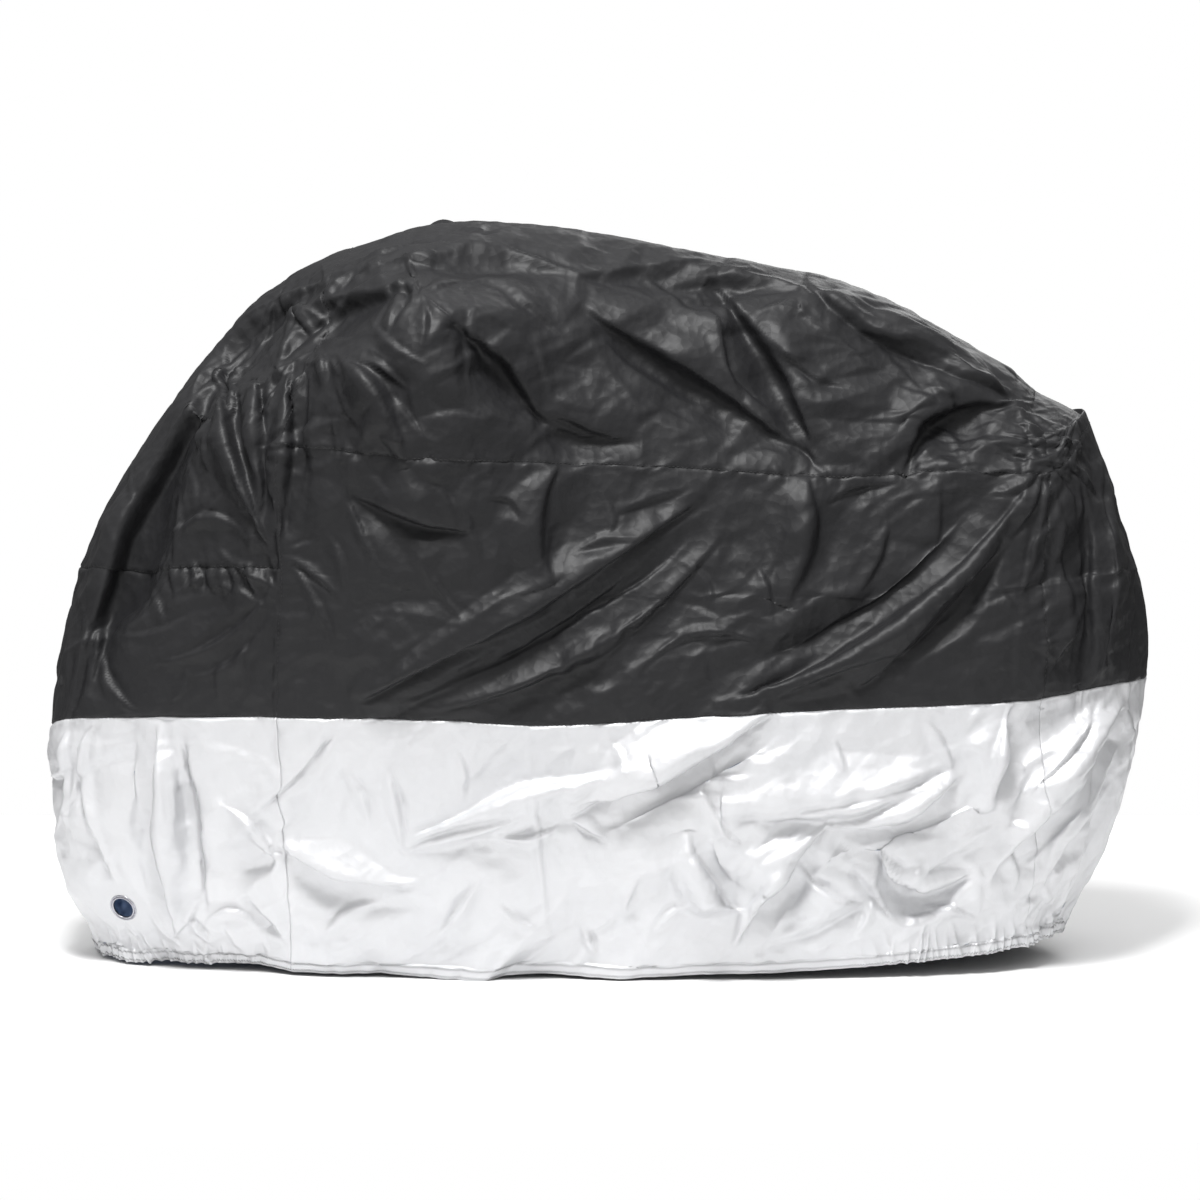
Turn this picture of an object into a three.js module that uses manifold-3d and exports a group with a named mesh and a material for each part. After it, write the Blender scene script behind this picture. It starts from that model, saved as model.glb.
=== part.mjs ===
// A fitted motorcycle cover, in the shape in which it hangs over a motorcycle. Black coated cloth above, a
// silver skirt below, joined by flat seams, with an elastic hem and an eyelet on each side near the front.
// Millimetres, +Z up, the front at -X. The origin is under the cloth at its highest point, where the cover
// hangs on what it covers.
import * as THREE from "three";
import { mergeVertices } from "three/addons/utils/BufferGeometryUtils.js";
import Module from "manifold-3d";

const wasm = await Module();
wasm.setup();

const CLOTH = 2; // thickness of the cloth with its coating and folds
const SEAM_GAP = 0.5; // between two panels at a seam
const SIDE_BLEND = 120; // how far from the centre line one side's folds pass into the other's

const EYELET_AT = { u: 1.16, v: 0.6 }; // place on the skirt, in stations and levels
const EYELET_BORE = 21; // radius of the open hole
const EYELET_RIM = 29; // radius outside the rolled rim
const EYELET_THICK = 5;
const EYELET_GAP = 0.5; // between the rim and the cloth
const EYELET_FLAT = 42; // the stiff ring keeps the cloth flat this far round it
const EYELET_FADE = 85;

// The heights at which the cover is cut and sewn, from the hem up to the centre line of the top.
const LEVELS = ["hem", "tuck", "seam", "belt", "waist", "shoulder", "crown", "ridge"];
const HEM = 0;
const SEAM = LEVELS.indexOf("seam");
const BELT = LEVELS.indexOf("belt");
const WAIST = LEVELS.indexOf("waist");
const RIDGE = LEVELS.indexOf("ridge");

// One row for each section from the nose to the tail. Each point is [x from the front, half width, height].
const STATIONS = [
  { name: "nose",
    hem: [95, 0, 0], tuck: [25, 0, 205], seam: [10, 0, 460], belt: [80, 0, 775],
    waist: [205, 0, 1015], shoulder: [315, 0, 1180], crown: [415, 0, 1290], ridge: [505, 0, 1355] },
  { name: "nose cheek",
    hem: [175, 130, 5], tuck: [90, 170, 205], seam: [75, 175, 495], belt: [150, 165, 790],
    waist: [265, 150, 1020], shoulder: [370, 125, 1180], crown: [470, 75, 1305], ridge: [550, 0, 1380] },
  { name: "front seam",
    hem: [500, 240, 5], tuck: [500, 300, 200], seam: [480, 330, 520], belt: [490, 335, 810],
    waist: [500, 320, 1045], shoulder: [540, 270, 1220], crown: [580, 160, 1335], ridge: [615, 0, 1410] },
  { name: "bars",
    hem: [765, 275, 0], tuck: [765, 340, 205], seam: [760, 385, 520], belt: [760, 405, 780],
    waist: [760, 420, 1030], shoulder: [765, 425, 1225], crown: [780, 330, 1360], ridge: [795, 0, 1455] },
  { name: "tank",
    hem: [1025, 290, 0], tuck: [1025, 345, 205], seam: [1025, 380, 510], belt: [1025, 370, 765],
    waist: [1025, 345, 1015], shoulder: [1030, 300, 1200], crown: [1035, 220, 1340], ridge: [1040, 0, 1445] },
  { name: "saddle front",
    hem: [1285, 290, 5], tuck: [1285, 335, 210], seam: [1285, 360, 525], belt: [1285, 330, 760],
    waist: [1285, 290, 1000], shoulder: [1290, 240, 1170], crown: [1295, 160, 1315], ridge: [1300, 0, 1400] },
  { name: "saddle back",
    hem: [1545, 280, 15], tuck: [1545, 320, 220], seam: [1545, 335, 535], belt: [1545, 300, 755],
    waist: [1545, 260, 980], shoulder: [1555, 215, 1140], crown: [1560, 145, 1270], ridge: [1570, 0, 1345] },
  { name: "rack",
    hem: [1785, 255, 30], tuck: [1785, 290, 240], seam: [1785, 305, 540], belt: [1785, 275, 765],
    waist: [1785, 240, 990], shoulder: [1795, 190, 1105], crown: [1805, 120, 1175], ridge: [1815, 0, 1230] },
  { name: "rear seam",
    hem: [1945, 190, 45], tuck: [1965, 240, 255], seam: [1970, 255, 545], belt: [1970, 240, 770],
    waist: [1980, 215, 985], shoulder: [1975, 170, 1050], crown: [1965, 100, 1095], ridge: [1960, 0, 1135] },
  { name: "tail cheek",
    hem: [2010, 100, 50], tuck: [2090, 140, 260], seam: [2135, 150, 560], belt: [2120, 140, 785],
    waist: [2050, 120, 1045], shoulder: [2035, 95, 1078], crown: [2014, 55, 1102], ridge: [1992, 0, 1117] },
  { name: "tail",
    hem: [2035, 0, 40], tuck: [2145, 0, 275], seam: [2200, 0, 555], belt: [2180, 0, 770],
    waist: [2080, 0, 1065], shoulder: [2062, 0, 1080], crown: [2042, 0, 1092], ridge: [2018, 0, 1104] },
];
const FRONT_SEAM = STATIONS.findIndex((row) => row.name === "front seam");
const REAR_SEAM = STATIONS.findIndex((row) => row.name === "rear seam");
const TAIL = STATIONS.length - 1;

// The number of grid cells from each station, or level, to the next one.
const STATION_CELLS = [4, 8, 5, 5, 5, 5, 4, 4, 4, 3];
const LEVEL_CELLS = [5, 5, 5, 4, 4, 3, 3];

// The main folds, seen from the side. Each runs from one place to another, past a middle one, as [x, height].
// It is high at its crest, or sunk where that is negative. Lee is the share of a hollow beside it, to the left
// of its run, or to the right where that is negative.
const NEAR_FOLDS = {
  behindNoseRoll: { from: [112, 540], mid: [192, 840], to: [318, 1090], wide: 38, high: -42, lee: 0.5 },
  underTopRoll: { from: [318, 1090], mid: [402, 1230], to: [575, 1345], wide: 38, high: -40, lee: 0.5 },
  underTopRoll2: { from: [484, 1190], mid: [590, 1285], to: [800, 1350], wide: 36, high: -26, lee: 0.5 },
  underRidge: { from: [690, 1370], mid: [860, 1385], to: [1060, 1355], wide: 42, high: -24, lee: 0.4 },
  alongRidge: { from: [1040, 1350], mid: [1300, 1345], to: [1560, 1300], wide: 42, high: -20, lee: 0.4 },
  frontDrape1: { from: [368, 1175], mid: [378, 1060], to: [470, 850], wide: 28, high: 24, lee: 0.8 },
  frontDrape2: { from: [436, 1185], mid: [446, 1060], to: [452, 880], wide: 24, high: 24, lee: 0.8 },
  frontDrape3: { from: [504, 1206], mid: [496, 1040], to: [490, 820], wide: 26, high: 26, lee: 0.8 },
  barToWaist: { from: [610, 1209], mid: [680, 1150], to: [740, 1015], wide: 32, high: 24, lee: 0.7 },
  behindBar: { from: [820, 1290], mid: [910, 1190], to: [1000, 1080], wide: 38, high: -28, lee: 0.6 },
  ridgeToWaist1: { from: [1064, 1310], mid: [1260, 1165], to: [1530, 1010], wide: 38, high: -28, lee: 0.6 },
  ridgeToWaist2: { from: [1316, 1354], mid: [1430, 1190], to: [1534, 985], wide: 34, high: -28, lee: 0.6 },
  aboveWaist: { from: [980, 1130], mid: [1045, 1070], to: [1185, 1050], wide: 34, high: -20, lee: 0.5 },
  downToRack: { from: [1506, 1346], mid: [1690, 1250], to: [1960, 1110], wide: 38, high: 26, lee: -0.9 },
  aboveGather: { from: [1698, 985], mid: [1780, 1075], to: [1930, 1105], wide: 34, high: -30, lee: 0.6 },
  gatherPull1: { from: [1322, 552], mid: [1670, 690], to: [1950, 975], wide: 36, high: 32, lee: 0.9 },
  gatherPull2: { from: [1600, 570], mid: [1776, 735], to: [1890, 860], wide: 30, high: -20, lee: 0.5 },
  beltSweep: { from: [626, 558], mid: [984, 745], to: [1310, 950], wide: 36, high: 30, lee: -0.9 },
  beltSweep2: { from: [730, 538], mid: [1090, 660], to: [1350, 890], wide: 34, high: 18, lee: -0.7 },
  middleDrape: { from: [1030, 1015], mid: [985, 900], to: [1010, 790], wide: 40, high: 22, lee: 0.8 },
  frontSeamSag: { from: [620, 960], mid: [740, 905], to: [870, 890], wide: 32, high: -20, lee: 0.5 },
  waistStep: { from: [1504, 985], mid: [1500, 870], to: [1460, 740], wide: 36, high: 18, lee: 0.6 },
  tailHollow: { from: [2030, 985], mid: [2056, 800], to: [2044, 575], wide: 28, high: -28, lee: 0.5 },
  tailPleat: { from: [2092, 930], mid: [2098, 790], to: [2096, 590], wide: 26, high: 24, lee: 0.6 },
  longSkirtFold: { from: [1440, 538], mid: [1262, 442], to: [1040, 330], wide: 36, high: 28, lee: 0.9 },
  skirtLens: { from: [740, 285], mid: [960, 372], to: [1200, 430], wide: 38, high: 24, lee: 0.9 },
  downToHem: { from: [1560, 312], mid: [1450, 210], to: [1368, 58], wide: 34, high: 26, lee: 0.9 },
  aboveHemFold: { from: [1804, 405], mid: [1690, 345], to: [1530, 300], wide: 36, high: 22, lee: 0.8 },
  rearBroadFold: { from: [1350, 345], mid: [1570, 360], to: [1800, 440], wide: 44, high: 18, lee: -0.5 },
  skirtCurve: { from: [1272, 296], mid: [1306, 190], to: [1390, 140], wide: 30, high: 18, lee: 0.6 },
  frontSkirt1: { from: [598, 498], mid: [516, 400], to: [420, 300], wide: 34, high: 24, lee: 0.8 },
  frontSkirt2: { from: [364, 350], mid: [448, 270], to: [506, 110], wide: 30, high: 22, lee: -0.8 },
  frontSkirt3: { from: [476, 276], mid: [590, 218], to: [760, 192], wide: 32, high: 20, lee: -0.8 },
  behindEyelet: { from: [244, 500], mid: [246, 290], to: [274, 60], wide: 28, high: 28, lee: -0.9 },
  behindEyelet2: { from: [300, 470], mid: [322, 310], to: [338, 110], wide: 28, high: -20, lee: 0.6 },
  cornerFold1: { from: [2150, 520], mid: [2030, 400], to: [1860, 175], wide: 34, high: 28, lee: 0.8 },
  cornerFold2: { from: [2120, 440], mid: [2040, 310], to: [1975, 150], wide: 28, high: 20, lee: 0.7 },
  rearSeamFold: { from: [1904, 540], mid: [1880, 450], to: [1856, 340], wide: 34, high: 20, lee: 0.7 },
  rearHemPoint: { from: [1650, 270], mid: [1712, 165], to: [1840, 210], wide: 30, high: -24, lee: 0.7 },
};
const FAR_FOLDS = {
  behindNoseRoll: { from: [120, 580], mid: [206, 860], to: [330, 1095], wide: 38, high: -34, lee: 0.5 },
  underTopRoll: { from: [330, 1095], mid: [430, 1240], to: [640, 1330], wide: 38, high: -30, lee: 0.5 },
  underRidge: { from: [720, 1375], mid: [960, 1370], to: [1240, 1330], wide: 42, high: -24, lee: 0.4 },
  frontDrape1: { from: [430, 1190], mid: [430, 1050], to: [470, 800], wide: 28, high: 26, lee: 0.8 },
  frontDrape2: { from: [520, 1180], mid: [516, 1020], to: [500, 830], wide: 26, high: 22, lee: 0.8 },
  barPull: { from: [700, 1200], mid: [860, 1060], to: [960, 860], wide: 38, high: 26, lee: -0.7 },
  behindBar: { from: [860, 1290], mid: [1050, 1150], to: [1230, 1020], wide: 38, high: -28, lee: 0.6 },
  ridgeToWaist: { from: [1240, 1330], mid: [1380, 1180], to: [1480, 960], wide: 36, high: -28, lee: 0.6 },
  downToRack: { from: [1480, 1340], mid: [1660, 1230], to: [1940, 1100], wide: 38, high: 24, lee: -0.9 },
  gatherPull: { from: [1380, 600], mid: [1710, 740], to: [1945, 960], wide: 36, high: 30, lee: 0.9 },
  beltSweep: { from: [560, 580], mid: [960, 700], to: [1290, 880], wide: 38, high: 26, lee: -0.9 },
  waistDrape: { from: [1180, 985], mid: [1150, 880], to: [1170, 790], wide: 38, high: 20, lee: 0.8 },
  tailHollow: { from: [2040, 985], mid: [2060, 800], to: [2050, 590], wide: 28, high: -26, lee: 0.5 },
  tailPleat: { from: [2096, 920], mid: [2100, 780], to: [2096, 600], wide: 26, high: 20, lee: 0.6 },
  longSkirtFold: { from: [1600, 490], mid: [1380, 370], to: [1060, 300], wide: 38, high: 26, lee: 0.9 },
  underSeam: { from: [620, 380], mid: [820, 440], to: [1020, 450], wide: 36, high: 22, lee: 0.8 },
  downToHem: { from: [1050, 420], mid: [910, 260], to: [870, 60], wide: 36, high: 24, lee: 0.8 },
  behindEyelet: { from: [262, 490], mid: [266, 290], to: [290, 70], wide: 28, high: 26, lee: -0.8 },
  frontSkirt1: { from: [560, 470], mid: [480, 340], to: [400, 230], wide: 34, high: 20, lee: 0.8 },
  cornerFold1: { from: [2130, 490], mid: [1990, 340], to: [1800, 160], wide: 36, high: 26, lee: 0.8 },
  cornerFold2: { from: [2110, 400], mid: [2030, 270], to: [1960, 130], wide: 28, high: 18, lee: 0.7 },
};
const FOLD_STEPS = 12;
const LEE_AT = 1.6; // how far from its crest a fold's hollow lies, in widths of the fold

// A smooth step from 0 to 1.
function ease(t) {
  const s = THREE.MathUtils.clamp(t, 0, 1);
  return s * s * (3 - 2 * s);
}

// A Catmull-Rom point between b and c.
function spline(a, b, c, d, t) {
  const part = (k) => {
    const [p, q, r, s] = [a, b, c, d].map((v) => v.getComponent(k));
    return q + 0.5 * t * (r - p + t * (2 * p - 5 * q + 4 * r - s + t * (3 * (q - r) + s - p)));
  };
  return new THREE.Vector3(part(0), part(1), part(2));
}

const mirrored = (p) => new THREE.Vector3(p.x, -p.y, p.z);

// A station's own point at a level; levels past the ridge and stations past the ends are the other side's.
function tablePoint(station, level) {
  if (level > RIDGE) return mirrored(tablePoint(station, 2 * RIDGE - level));
  if (station < 0) return mirrored(tablePoint(-station, level));
  if (station > TAIL) return mirrored(tablePoint(2 * TAIL - station, level));
  if (level < 0) {
    const [hem, above] = [tablePoint(station, 0), tablePoint(station, 1)];
    return hem.clone().multiplyScalar(2).sub(above);
  }
  return new THREE.Vector3(...STATIONS[station][LEVELS[level]]);
}

function cellOf(value, last) {
  const cell = Math.min(Math.floor(value), last - 1);
  return [cell, value - cell];
}

// The smooth shell without its folds, on the side where y is positive.
function shell(u, v) {
  const [station, s] = cellOf(u, TAIL);
  const [level, t] = cellOf(v, RIDGE);
  const rows = [-1, 0, 1, 2].map((k) => {
    const at = [-1, 0, 1, 2].map((m) => tablePoint(station + k, level + m));
    return spline(...at, t);
  });
  const point = spline(...rows, s);
  if (u === 0 || u === TAIL || v === RIDGE) point.y = 0;
  return point;
}

// A fold's crest line, as points along a curve through its middle place.
function crestOf(fold) {
  const at = (p) => new THREE.Vector2(...p);
  const pull = at(fold.mid).multiplyScalar(2);
  pull.sub(at(fold.from).add(at(fold.to)).multiplyScalar(0.5));
  return new THREE.QuadraticBezierCurve(at(fold.from), pull, at(fold.to)).getPoints(FOLD_STEPS);
}

const withCrests = (table) => Object.values(table).map((fold) => ({ ...fold, crest: crestOf(fold) }));
const SIDE_FOLDS = { near: withCrests(NEAR_FOLDS), far: withCrests(FAR_FOLDS) };

// How far one fold lifts the cloth at a place: a rounded crest that fades towards both ends.
function foldLift(fold, place) {
  let best = { away: Infinity };
  for (let k = 0; k < FOLD_STEPS; k += 1) {
    const start = fold.crest[k];
    const along = fold.crest[k + 1].clone().sub(start);
    const toPlace = place.clone().sub(start);
    const share = THREE.MathUtils.clamp(toPlace.dot(along) / along.lengthSq(), 0, 1);
    const away = toPlace.clone().sub(along.clone().multiplyScalar(share)).length();
    const side = Math.sign(along.cross(toPlace));
    if (away < best.away) best = { away, side, share: (k + share) / FOLD_STEPS };
  }
  const taper = Math.sqrt(Math.max(0, 4 * best.share * (1 - best.share)));
  const across = (best.away * best.side) / fold.wide;
  const crest = Math.exp(-across * across);
  const hollow = Math.exp(-((across - LEE_AT * Math.sign(fold.lee)) ** 2));
  return fold.high * taper * (crest - Math.abs(fold.lee) * hollow);
}

function foldsLift(folds, point) {
  const place = new THREE.Vector2(point.x, point.z);
  return folds.reduce((sum, fold) => sum + foldLift(fold, place), 0);
}

// Cell edges: each gap between whole numbers is cut into the stated number of cells.
function gridLines(cells) {
  const lines = [0];
  cells.forEach((count, k) => {
    for (let n = 1; n <= count; n += 1) lines.push(n === count ? k + 1 : k + n / count);
  });
  return lines;
}

const US = gridLines(STATION_CELLS);
const VS = gridLines(LEVEL_CELLS);
const lineAt = (lines, value) => lines.indexOf(value);

// The side seen with the front on the left is the near one, at negative y.
const NEAR = -1;
const FAR = 1;

// Grid points of both sides. The two sides share their points on the centre line.
const onCentre = (i, j) => i === 0 || i === US.length - 1 || j === VS.length - 1;
const keyOf = (side, i, j) => `${onCentre(i, j) ? NEAR : side}:${i}:${j}`;

function gridCells(side, iFrom, iTo, jFrom, jTo) {
  const cells = [];
  for (let i = iFrom; i < iTo; i += 1) {
    for (let j = jFrom; j < jTo; j += 1) {
      const ring = [[i, j], [i + 1, j], [i + 1, j + 1], [i, j + 1]].map(([a, b]) => keyOf(side, a, b));
      cells.push(side === NEAR ? ring : ring.reverse());
    }
  }
  return cells;
}

const wholeSide = (side) => gridCells(side, 0, US.length - 1, 0, VS.length - 1);

function makePoints() {
  const points = new Map();
  for (const side of [NEAR, FAR]) {
    US.forEach((u, i) => VS.forEach((v, j) => {
      const point = shell(u, v);
      point.y *= side;
      points.set(keyOf(side, i, j), point);
    }));
  }
  return points;
}

// Smooth normals: at each point, the sum of the normals of the cells round it.
function makeNormals(points) {
  const normals = new Map([...points.keys()].map((key) => [key, new THREE.Vector3()]));
  for (const ring of [...wholeSide(NEAR), ...wholeSide(FAR)]) {
    const [a, b, c, d] = ring.map((key) => points.get(key));
    const normal = c.clone().sub(a).cross(d.clone().sub(b));
    ring.forEach((key) => normals.get(key).add(normal));
  }
  normals.forEach((normal) => normal.normalize());
  return normals;
}

// Folds are laid on along the smooth shell's normals, each side's fading into the other's at the centre line.
function layFolds(points) {
  const normals = makeNormals(points);
  points.forEach((point, key) => {
    const far = ease(0.5 + point.y / (2 * SIDE_BLEND));
    const lift = (1 - far) * foldsLift(SIDE_FOLDS.near, point) + far * foldsLift(SIDE_FOLDS.far, point);
    point.addScaledVector(normals.get(key), lift);
  });
}

// The eyelet's place and the way it faces, on the smooth shell.
function eyeletFrame(side) {
  const step = 0.02;
  const at = (du, dv) => {
    const point = shell(EYELET_AT.u + du, EYELET_AT.v + dv);
    point.y *= side;
    return point;
  };
  const alongU = at(step, 0).sub(at(-step, 0));
  const alongV = at(0, step).sub(at(0, -step));
  const facing = alongU.cross(alongV).normalize();
  if (facing.y * side < 0) facing.negate();
  return { centre: at(0, 0), facing };
}

function flattenRound(points, { centre, facing }) {
  points.forEach((point) => {
    const away = point.clone().sub(centre);
    const hold = 1 - ease((away.length() - EYELET_FLAT) / (EYELET_FADE - EYELET_FLAT));
    point.addScaledVector(facing, -hold * away.dot(facing));
  });
}

const POINTS = makePoints();
layFolds(POINTS);
const EYELETS = { near: eyeletFrame(NEAR), far: eyeletFrame(FAR) };
Object.values(EYELETS).forEach((frame) => flattenRound(POINTS, frame));
const NORMALS = makeNormals(POINTS);

// A panel is one or two patches of the grid, joined on the centre line. Its points on a seam stand back from
// it by half the gap, towards the patch's own inside.
function panelPoints(patches) {
  const moved = new Map();
  const stand = (key, towards) => {
    const shift = POINTS.get(towards).clone().sub(POINTS.get(key)).setLength(SEAM_GAP / 2);
    moved.set(key, (moved.get(key) ?? POINTS.get(key).clone()).add(shift));
  };
  for (const { side, u: [uFrom, uTo], v: [vFrom, vTo] } of patches) {
    const [iFrom, iTo] = [lineAt(US, uFrom), lineAt(US, uTo)];
    const [jFrom, jTo] = [lineAt(VS, vFrom), lineAt(VS, vTo)];
    const alongU = (i, towards, j) => {
      if (!(onCentre(i, j) && side === FAR)) stand(keyOf(side, i, j), keyOf(side, towards, j));
    };
    const alongV = (j, towards, i) => {
      if (!(onCentre(i, j) && side === FAR)) stand(keyOf(side, i, j), keyOf(side, i, towards));
    };
    for (let j = jFrom; j <= jTo; j += 1) {
      if (uFrom > 0) alongU(iFrom, iFrom + 1, j);
      if (uTo < TAIL) alongU(iTo, iTo - 1, j);
    }
    for (let i = iFrom; i <= iTo; i += 1) {
      if (vFrom > HEM) alongV(jFrom, jFrom + 1, i);
      if (vTo < RIDGE) alongV(jTo, jTo - 1, i);
    }
  }
  return moved;
}

// Edges that only one cell of the panel uses, each in its cell's own direction.
function rimEdges(cells) {
  const edges = new Map();
  for (const ring of cells) {
    ring.forEach((key, k) => {
      const next = ring[(k + 1) % ring.length];
      if (edges.has(`${next}|${key}`)) edges.delete(`${next}|${key}`);
      else edges.set(`${key}|${next}`, [key, next]);
    });
  }
  return [...edges.values()];
}

// A closed sheet of even thickness over the panel's cells.
function panelGeometry(patches) {
  const moved = panelPoints(patches);
  const cells = patches.flatMap(({ side, u, v }) =>
    gridCells(side, lineAt(US, u[0]), lineAt(US, u[1]), lineAt(VS, v[0]), lineAt(VS, v[1])));
  const outer = (key) => moved.get(key) ?? POINTS.get(key);
  const inner = (key) => outer(key).clone().addScaledVector(NORMALS.get(key), -CLOTH);
  const triangles = [];
  const quad = (a, b, c, d) => triangles.push(a, b, c, a, c, d);
  for (const ring of cells) {
    // Both faces are cut along the cell's shorter diagonal, so that a twisted cell keeps its thickness.
    const [p, q, r, s] = ring.map(outer);
    const turned = p.distanceTo(r) <= q.distanceTo(s) ? ring : [...ring.slice(1), ring[0]];
    quad(...turned.map(outer));
    const [a, b, c, d] = turned.map(inner);
    quad(a, d, c, b);
  }
  for (const [from, to] of rimEdges(cells)) quad(outer(to), outer(from), inner(from), inner(to));
  return new THREE.BufferGeometry().setFromPoints(triangles);
}

function solidOf(geometry) {
  const bare = new THREE.BufferGeometry().setAttribute("position", geometry.getAttribute("position"));
  if (geometry.index) bare.setIndex(geometry.index);
  const merged = mergeVertices(bare, 1e-4);
  return new wasm.Manifold(new wasm.Mesh({
    numProp: 3,
    vertProperties: new Float32Array(merged.attributes.position.array),
    triVerts: new Uint32Array(merged.index.array),
  }));
}

function geometryOf(solid) {
  const mesh = solid.getMesh();
  return new THREE.BufferGeometry()
    .setAttribute("position", new THREE.BufferAttribute(new Float32Array(mesh.vertProperties), 3))
    .setIndex(new THREE.BufferAttribute(new Uint32Array(mesh.triVerts), 1));
}

// Turns a shape made round the Y axis so that it stands in the eyelet's place.
function placeInEyelet(geometry, { centre, facing }) {
  const turn = new THREE.Quaternion().setFromUnitVectors(new THREE.Vector3(0, 1, 0), facing);
  return geometry.applyQuaternion(turn).translate(centre.x, centre.y, centre.z);
}

function withEyeletHoles(geometry) {
  const cut = Object.values(EYELETS).reduce((solid, frame) => {
    const punch = new THREE.CylinderGeometry(EYELET_RIM + EYELET_GAP, EYELET_RIM + EYELET_GAP, 40, 28);
    return solid.subtract(solidOf(placeInEyelet(punch, frame)));
  }, solidOf(geometry));
  return geometryOf(cut);
}

// A rolled metal ring, level with the cloth's middle.
function eyeletGeometry(frame) {
  const radius = (EYELET_RIM - EYELET_BORE) / 2;
  const profile = [];
  for (let k = 0; k <= 10; k += 1) {
    const turn = (k / 10) * 2 * Math.PI;
    profile.push(new THREE.Vector2(
      (EYELET_RIM + EYELET_BORE) / 2 + radius * Math.cos(turn),
      -CLOTH / 2 + (EYELET_THICK / 2) * Math.sin(turn),
    ));
  }
  profile[10].copy(profile[0]);
  return placeInEyelet(new THREE.LatheGeometry(profile, 28), frame);
}

const material = (name, color, roughness, metalness) =>
  new THREE.MeshStandardMaterial({ name, color, roughness, metalness });
const BLACK = material("black_cloth", 0x1c1c1e, 0.45, 0);
const SILVER = material("silver_cloth", 0xd6d7da, 0.4, 0.3);
const METAL = material("eyelet_metal", 0xb9bcc0, 0.25, 1);

const bothSides = (u, v) => [{ side: NEAR, u, v }, { side: FAR, u, v }];
const SIDE = [FRONT_SEAM, REAR_SEAM];
const FRONT = [0, FRONT_SEAM];
const REAR = [REAR_SEAM, TAIL];

const PANELS = [
  { name: "nose_upper_panel", finish: BLACK, patches: bothSides(FRONT, [BELT, RIDGE]) },
  { name: "nose_lower_panel", finish: BLACK, patches: bothSides(FRONT, [SEAM, BELT]) },
  { name: "top_panel", finish: BLACK, patches: bothSides([FRONT_SEAM, TAIL], [WAIST, RIDGE]) },
  { name: "near_side_panel", finish: BLACK, patches: [{ side: NEAR, u: SIDE, v: [SEAM, WAIST] }] },
  { name: "far_side_panel", finish: BLACK, patches: [{ side: FAR, u: SIDE, v: [SEAM, WAIST] }] },
  { name: "tail_panel", finish: BLACK, patches: bothSides(REAR, [SEAM, WAIST]) },
  { name: "front_skirt", finish: SILVER, patches: bothSides(FRONT, [HEM, SEAM]), holed: true },
  { name: "near_skirt", finish: SILVER, patches: [{ side: NEAR, u: SIDE, v: [HEM, SEAM] }] },
  { name: "far_skirt", finish: SILVER, patches: [{ side: FAR, u: SIDE, v: [HEM, SEAM] }] },
  { name: "rear_skirt", finish: SILVER, patches: bothSides(REAR, [HEM, SEAM]) },
];

const cover = new THREE.Group();

function addPiece(name, geometry, finish) {
  const mesh = new THREE.Mesh(geometry, finish);
  mesh.name = name;
  cover.add(mesh);
}

for (const { name, finish, patches, holed } of PANELS) {
  const geometry = panelGeometry(patches);
  addPiece(name, holed ? withEyeletHoles(geometry) : geometry, finish);
}
addPiece("near_eyelet", eyeletGeometry(EYELETS.near), METAL);
addPiece("far_eyelet", eyeletGeometry(EYELETS.far), METAL);

// The origin is where the highest point of the ridge rests on what the cover hangs over.
const ridgePoints = US.map((u, i) => POINTS.get(keyOf(NEAR, i, VS.length - 1)));
const top = ridgePoints.reduce((best, point) => (point.z > best.z ? point : best));
cover.position.set(-top.x, 0, CLOTH - top.z);

export default cover;
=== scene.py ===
# %% [markdown]
# # A motorcycle cover
# The real thing is a bag of thin coated taffeta, sewn from ten panels: black above, silver below, with an
# elastic hem and a metal eyelet low on each side of the front. What we model is nothing but cloth and the
# creases in it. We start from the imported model, which fixes the size and the place of every panel, and
# write down its box before anything is added.

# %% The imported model
import math

import bmesh
import bpy
import numpy as np
from mathutils import Matrix, Vector
from mathutils.bvhtree import BVHTree
from mathutils.geometry import delaunay_2d_cdt


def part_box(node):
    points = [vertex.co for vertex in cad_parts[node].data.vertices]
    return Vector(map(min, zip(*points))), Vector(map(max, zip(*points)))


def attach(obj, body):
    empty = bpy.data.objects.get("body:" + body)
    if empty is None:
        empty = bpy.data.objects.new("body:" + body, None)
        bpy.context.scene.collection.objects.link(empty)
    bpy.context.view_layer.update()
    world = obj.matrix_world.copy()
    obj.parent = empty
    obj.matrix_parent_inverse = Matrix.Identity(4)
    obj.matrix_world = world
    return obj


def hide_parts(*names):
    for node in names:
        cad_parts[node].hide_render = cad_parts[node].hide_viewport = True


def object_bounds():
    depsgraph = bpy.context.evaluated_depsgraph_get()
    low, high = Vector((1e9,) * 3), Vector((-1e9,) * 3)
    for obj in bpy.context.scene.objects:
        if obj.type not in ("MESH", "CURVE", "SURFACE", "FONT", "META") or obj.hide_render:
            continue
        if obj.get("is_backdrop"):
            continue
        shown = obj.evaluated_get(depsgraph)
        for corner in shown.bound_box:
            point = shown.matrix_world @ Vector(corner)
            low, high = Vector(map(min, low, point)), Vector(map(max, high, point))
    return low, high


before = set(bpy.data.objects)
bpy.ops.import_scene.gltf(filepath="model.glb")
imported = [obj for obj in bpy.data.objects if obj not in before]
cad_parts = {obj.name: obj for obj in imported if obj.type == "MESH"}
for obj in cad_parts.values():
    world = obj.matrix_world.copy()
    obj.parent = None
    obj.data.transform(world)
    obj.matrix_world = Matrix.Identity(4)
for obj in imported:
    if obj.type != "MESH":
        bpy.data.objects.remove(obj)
cad_low, cad_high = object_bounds()
print("packed nodes:", len(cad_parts), "box:", [round(v, 3) for v in cad_high - cad_low])

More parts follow.
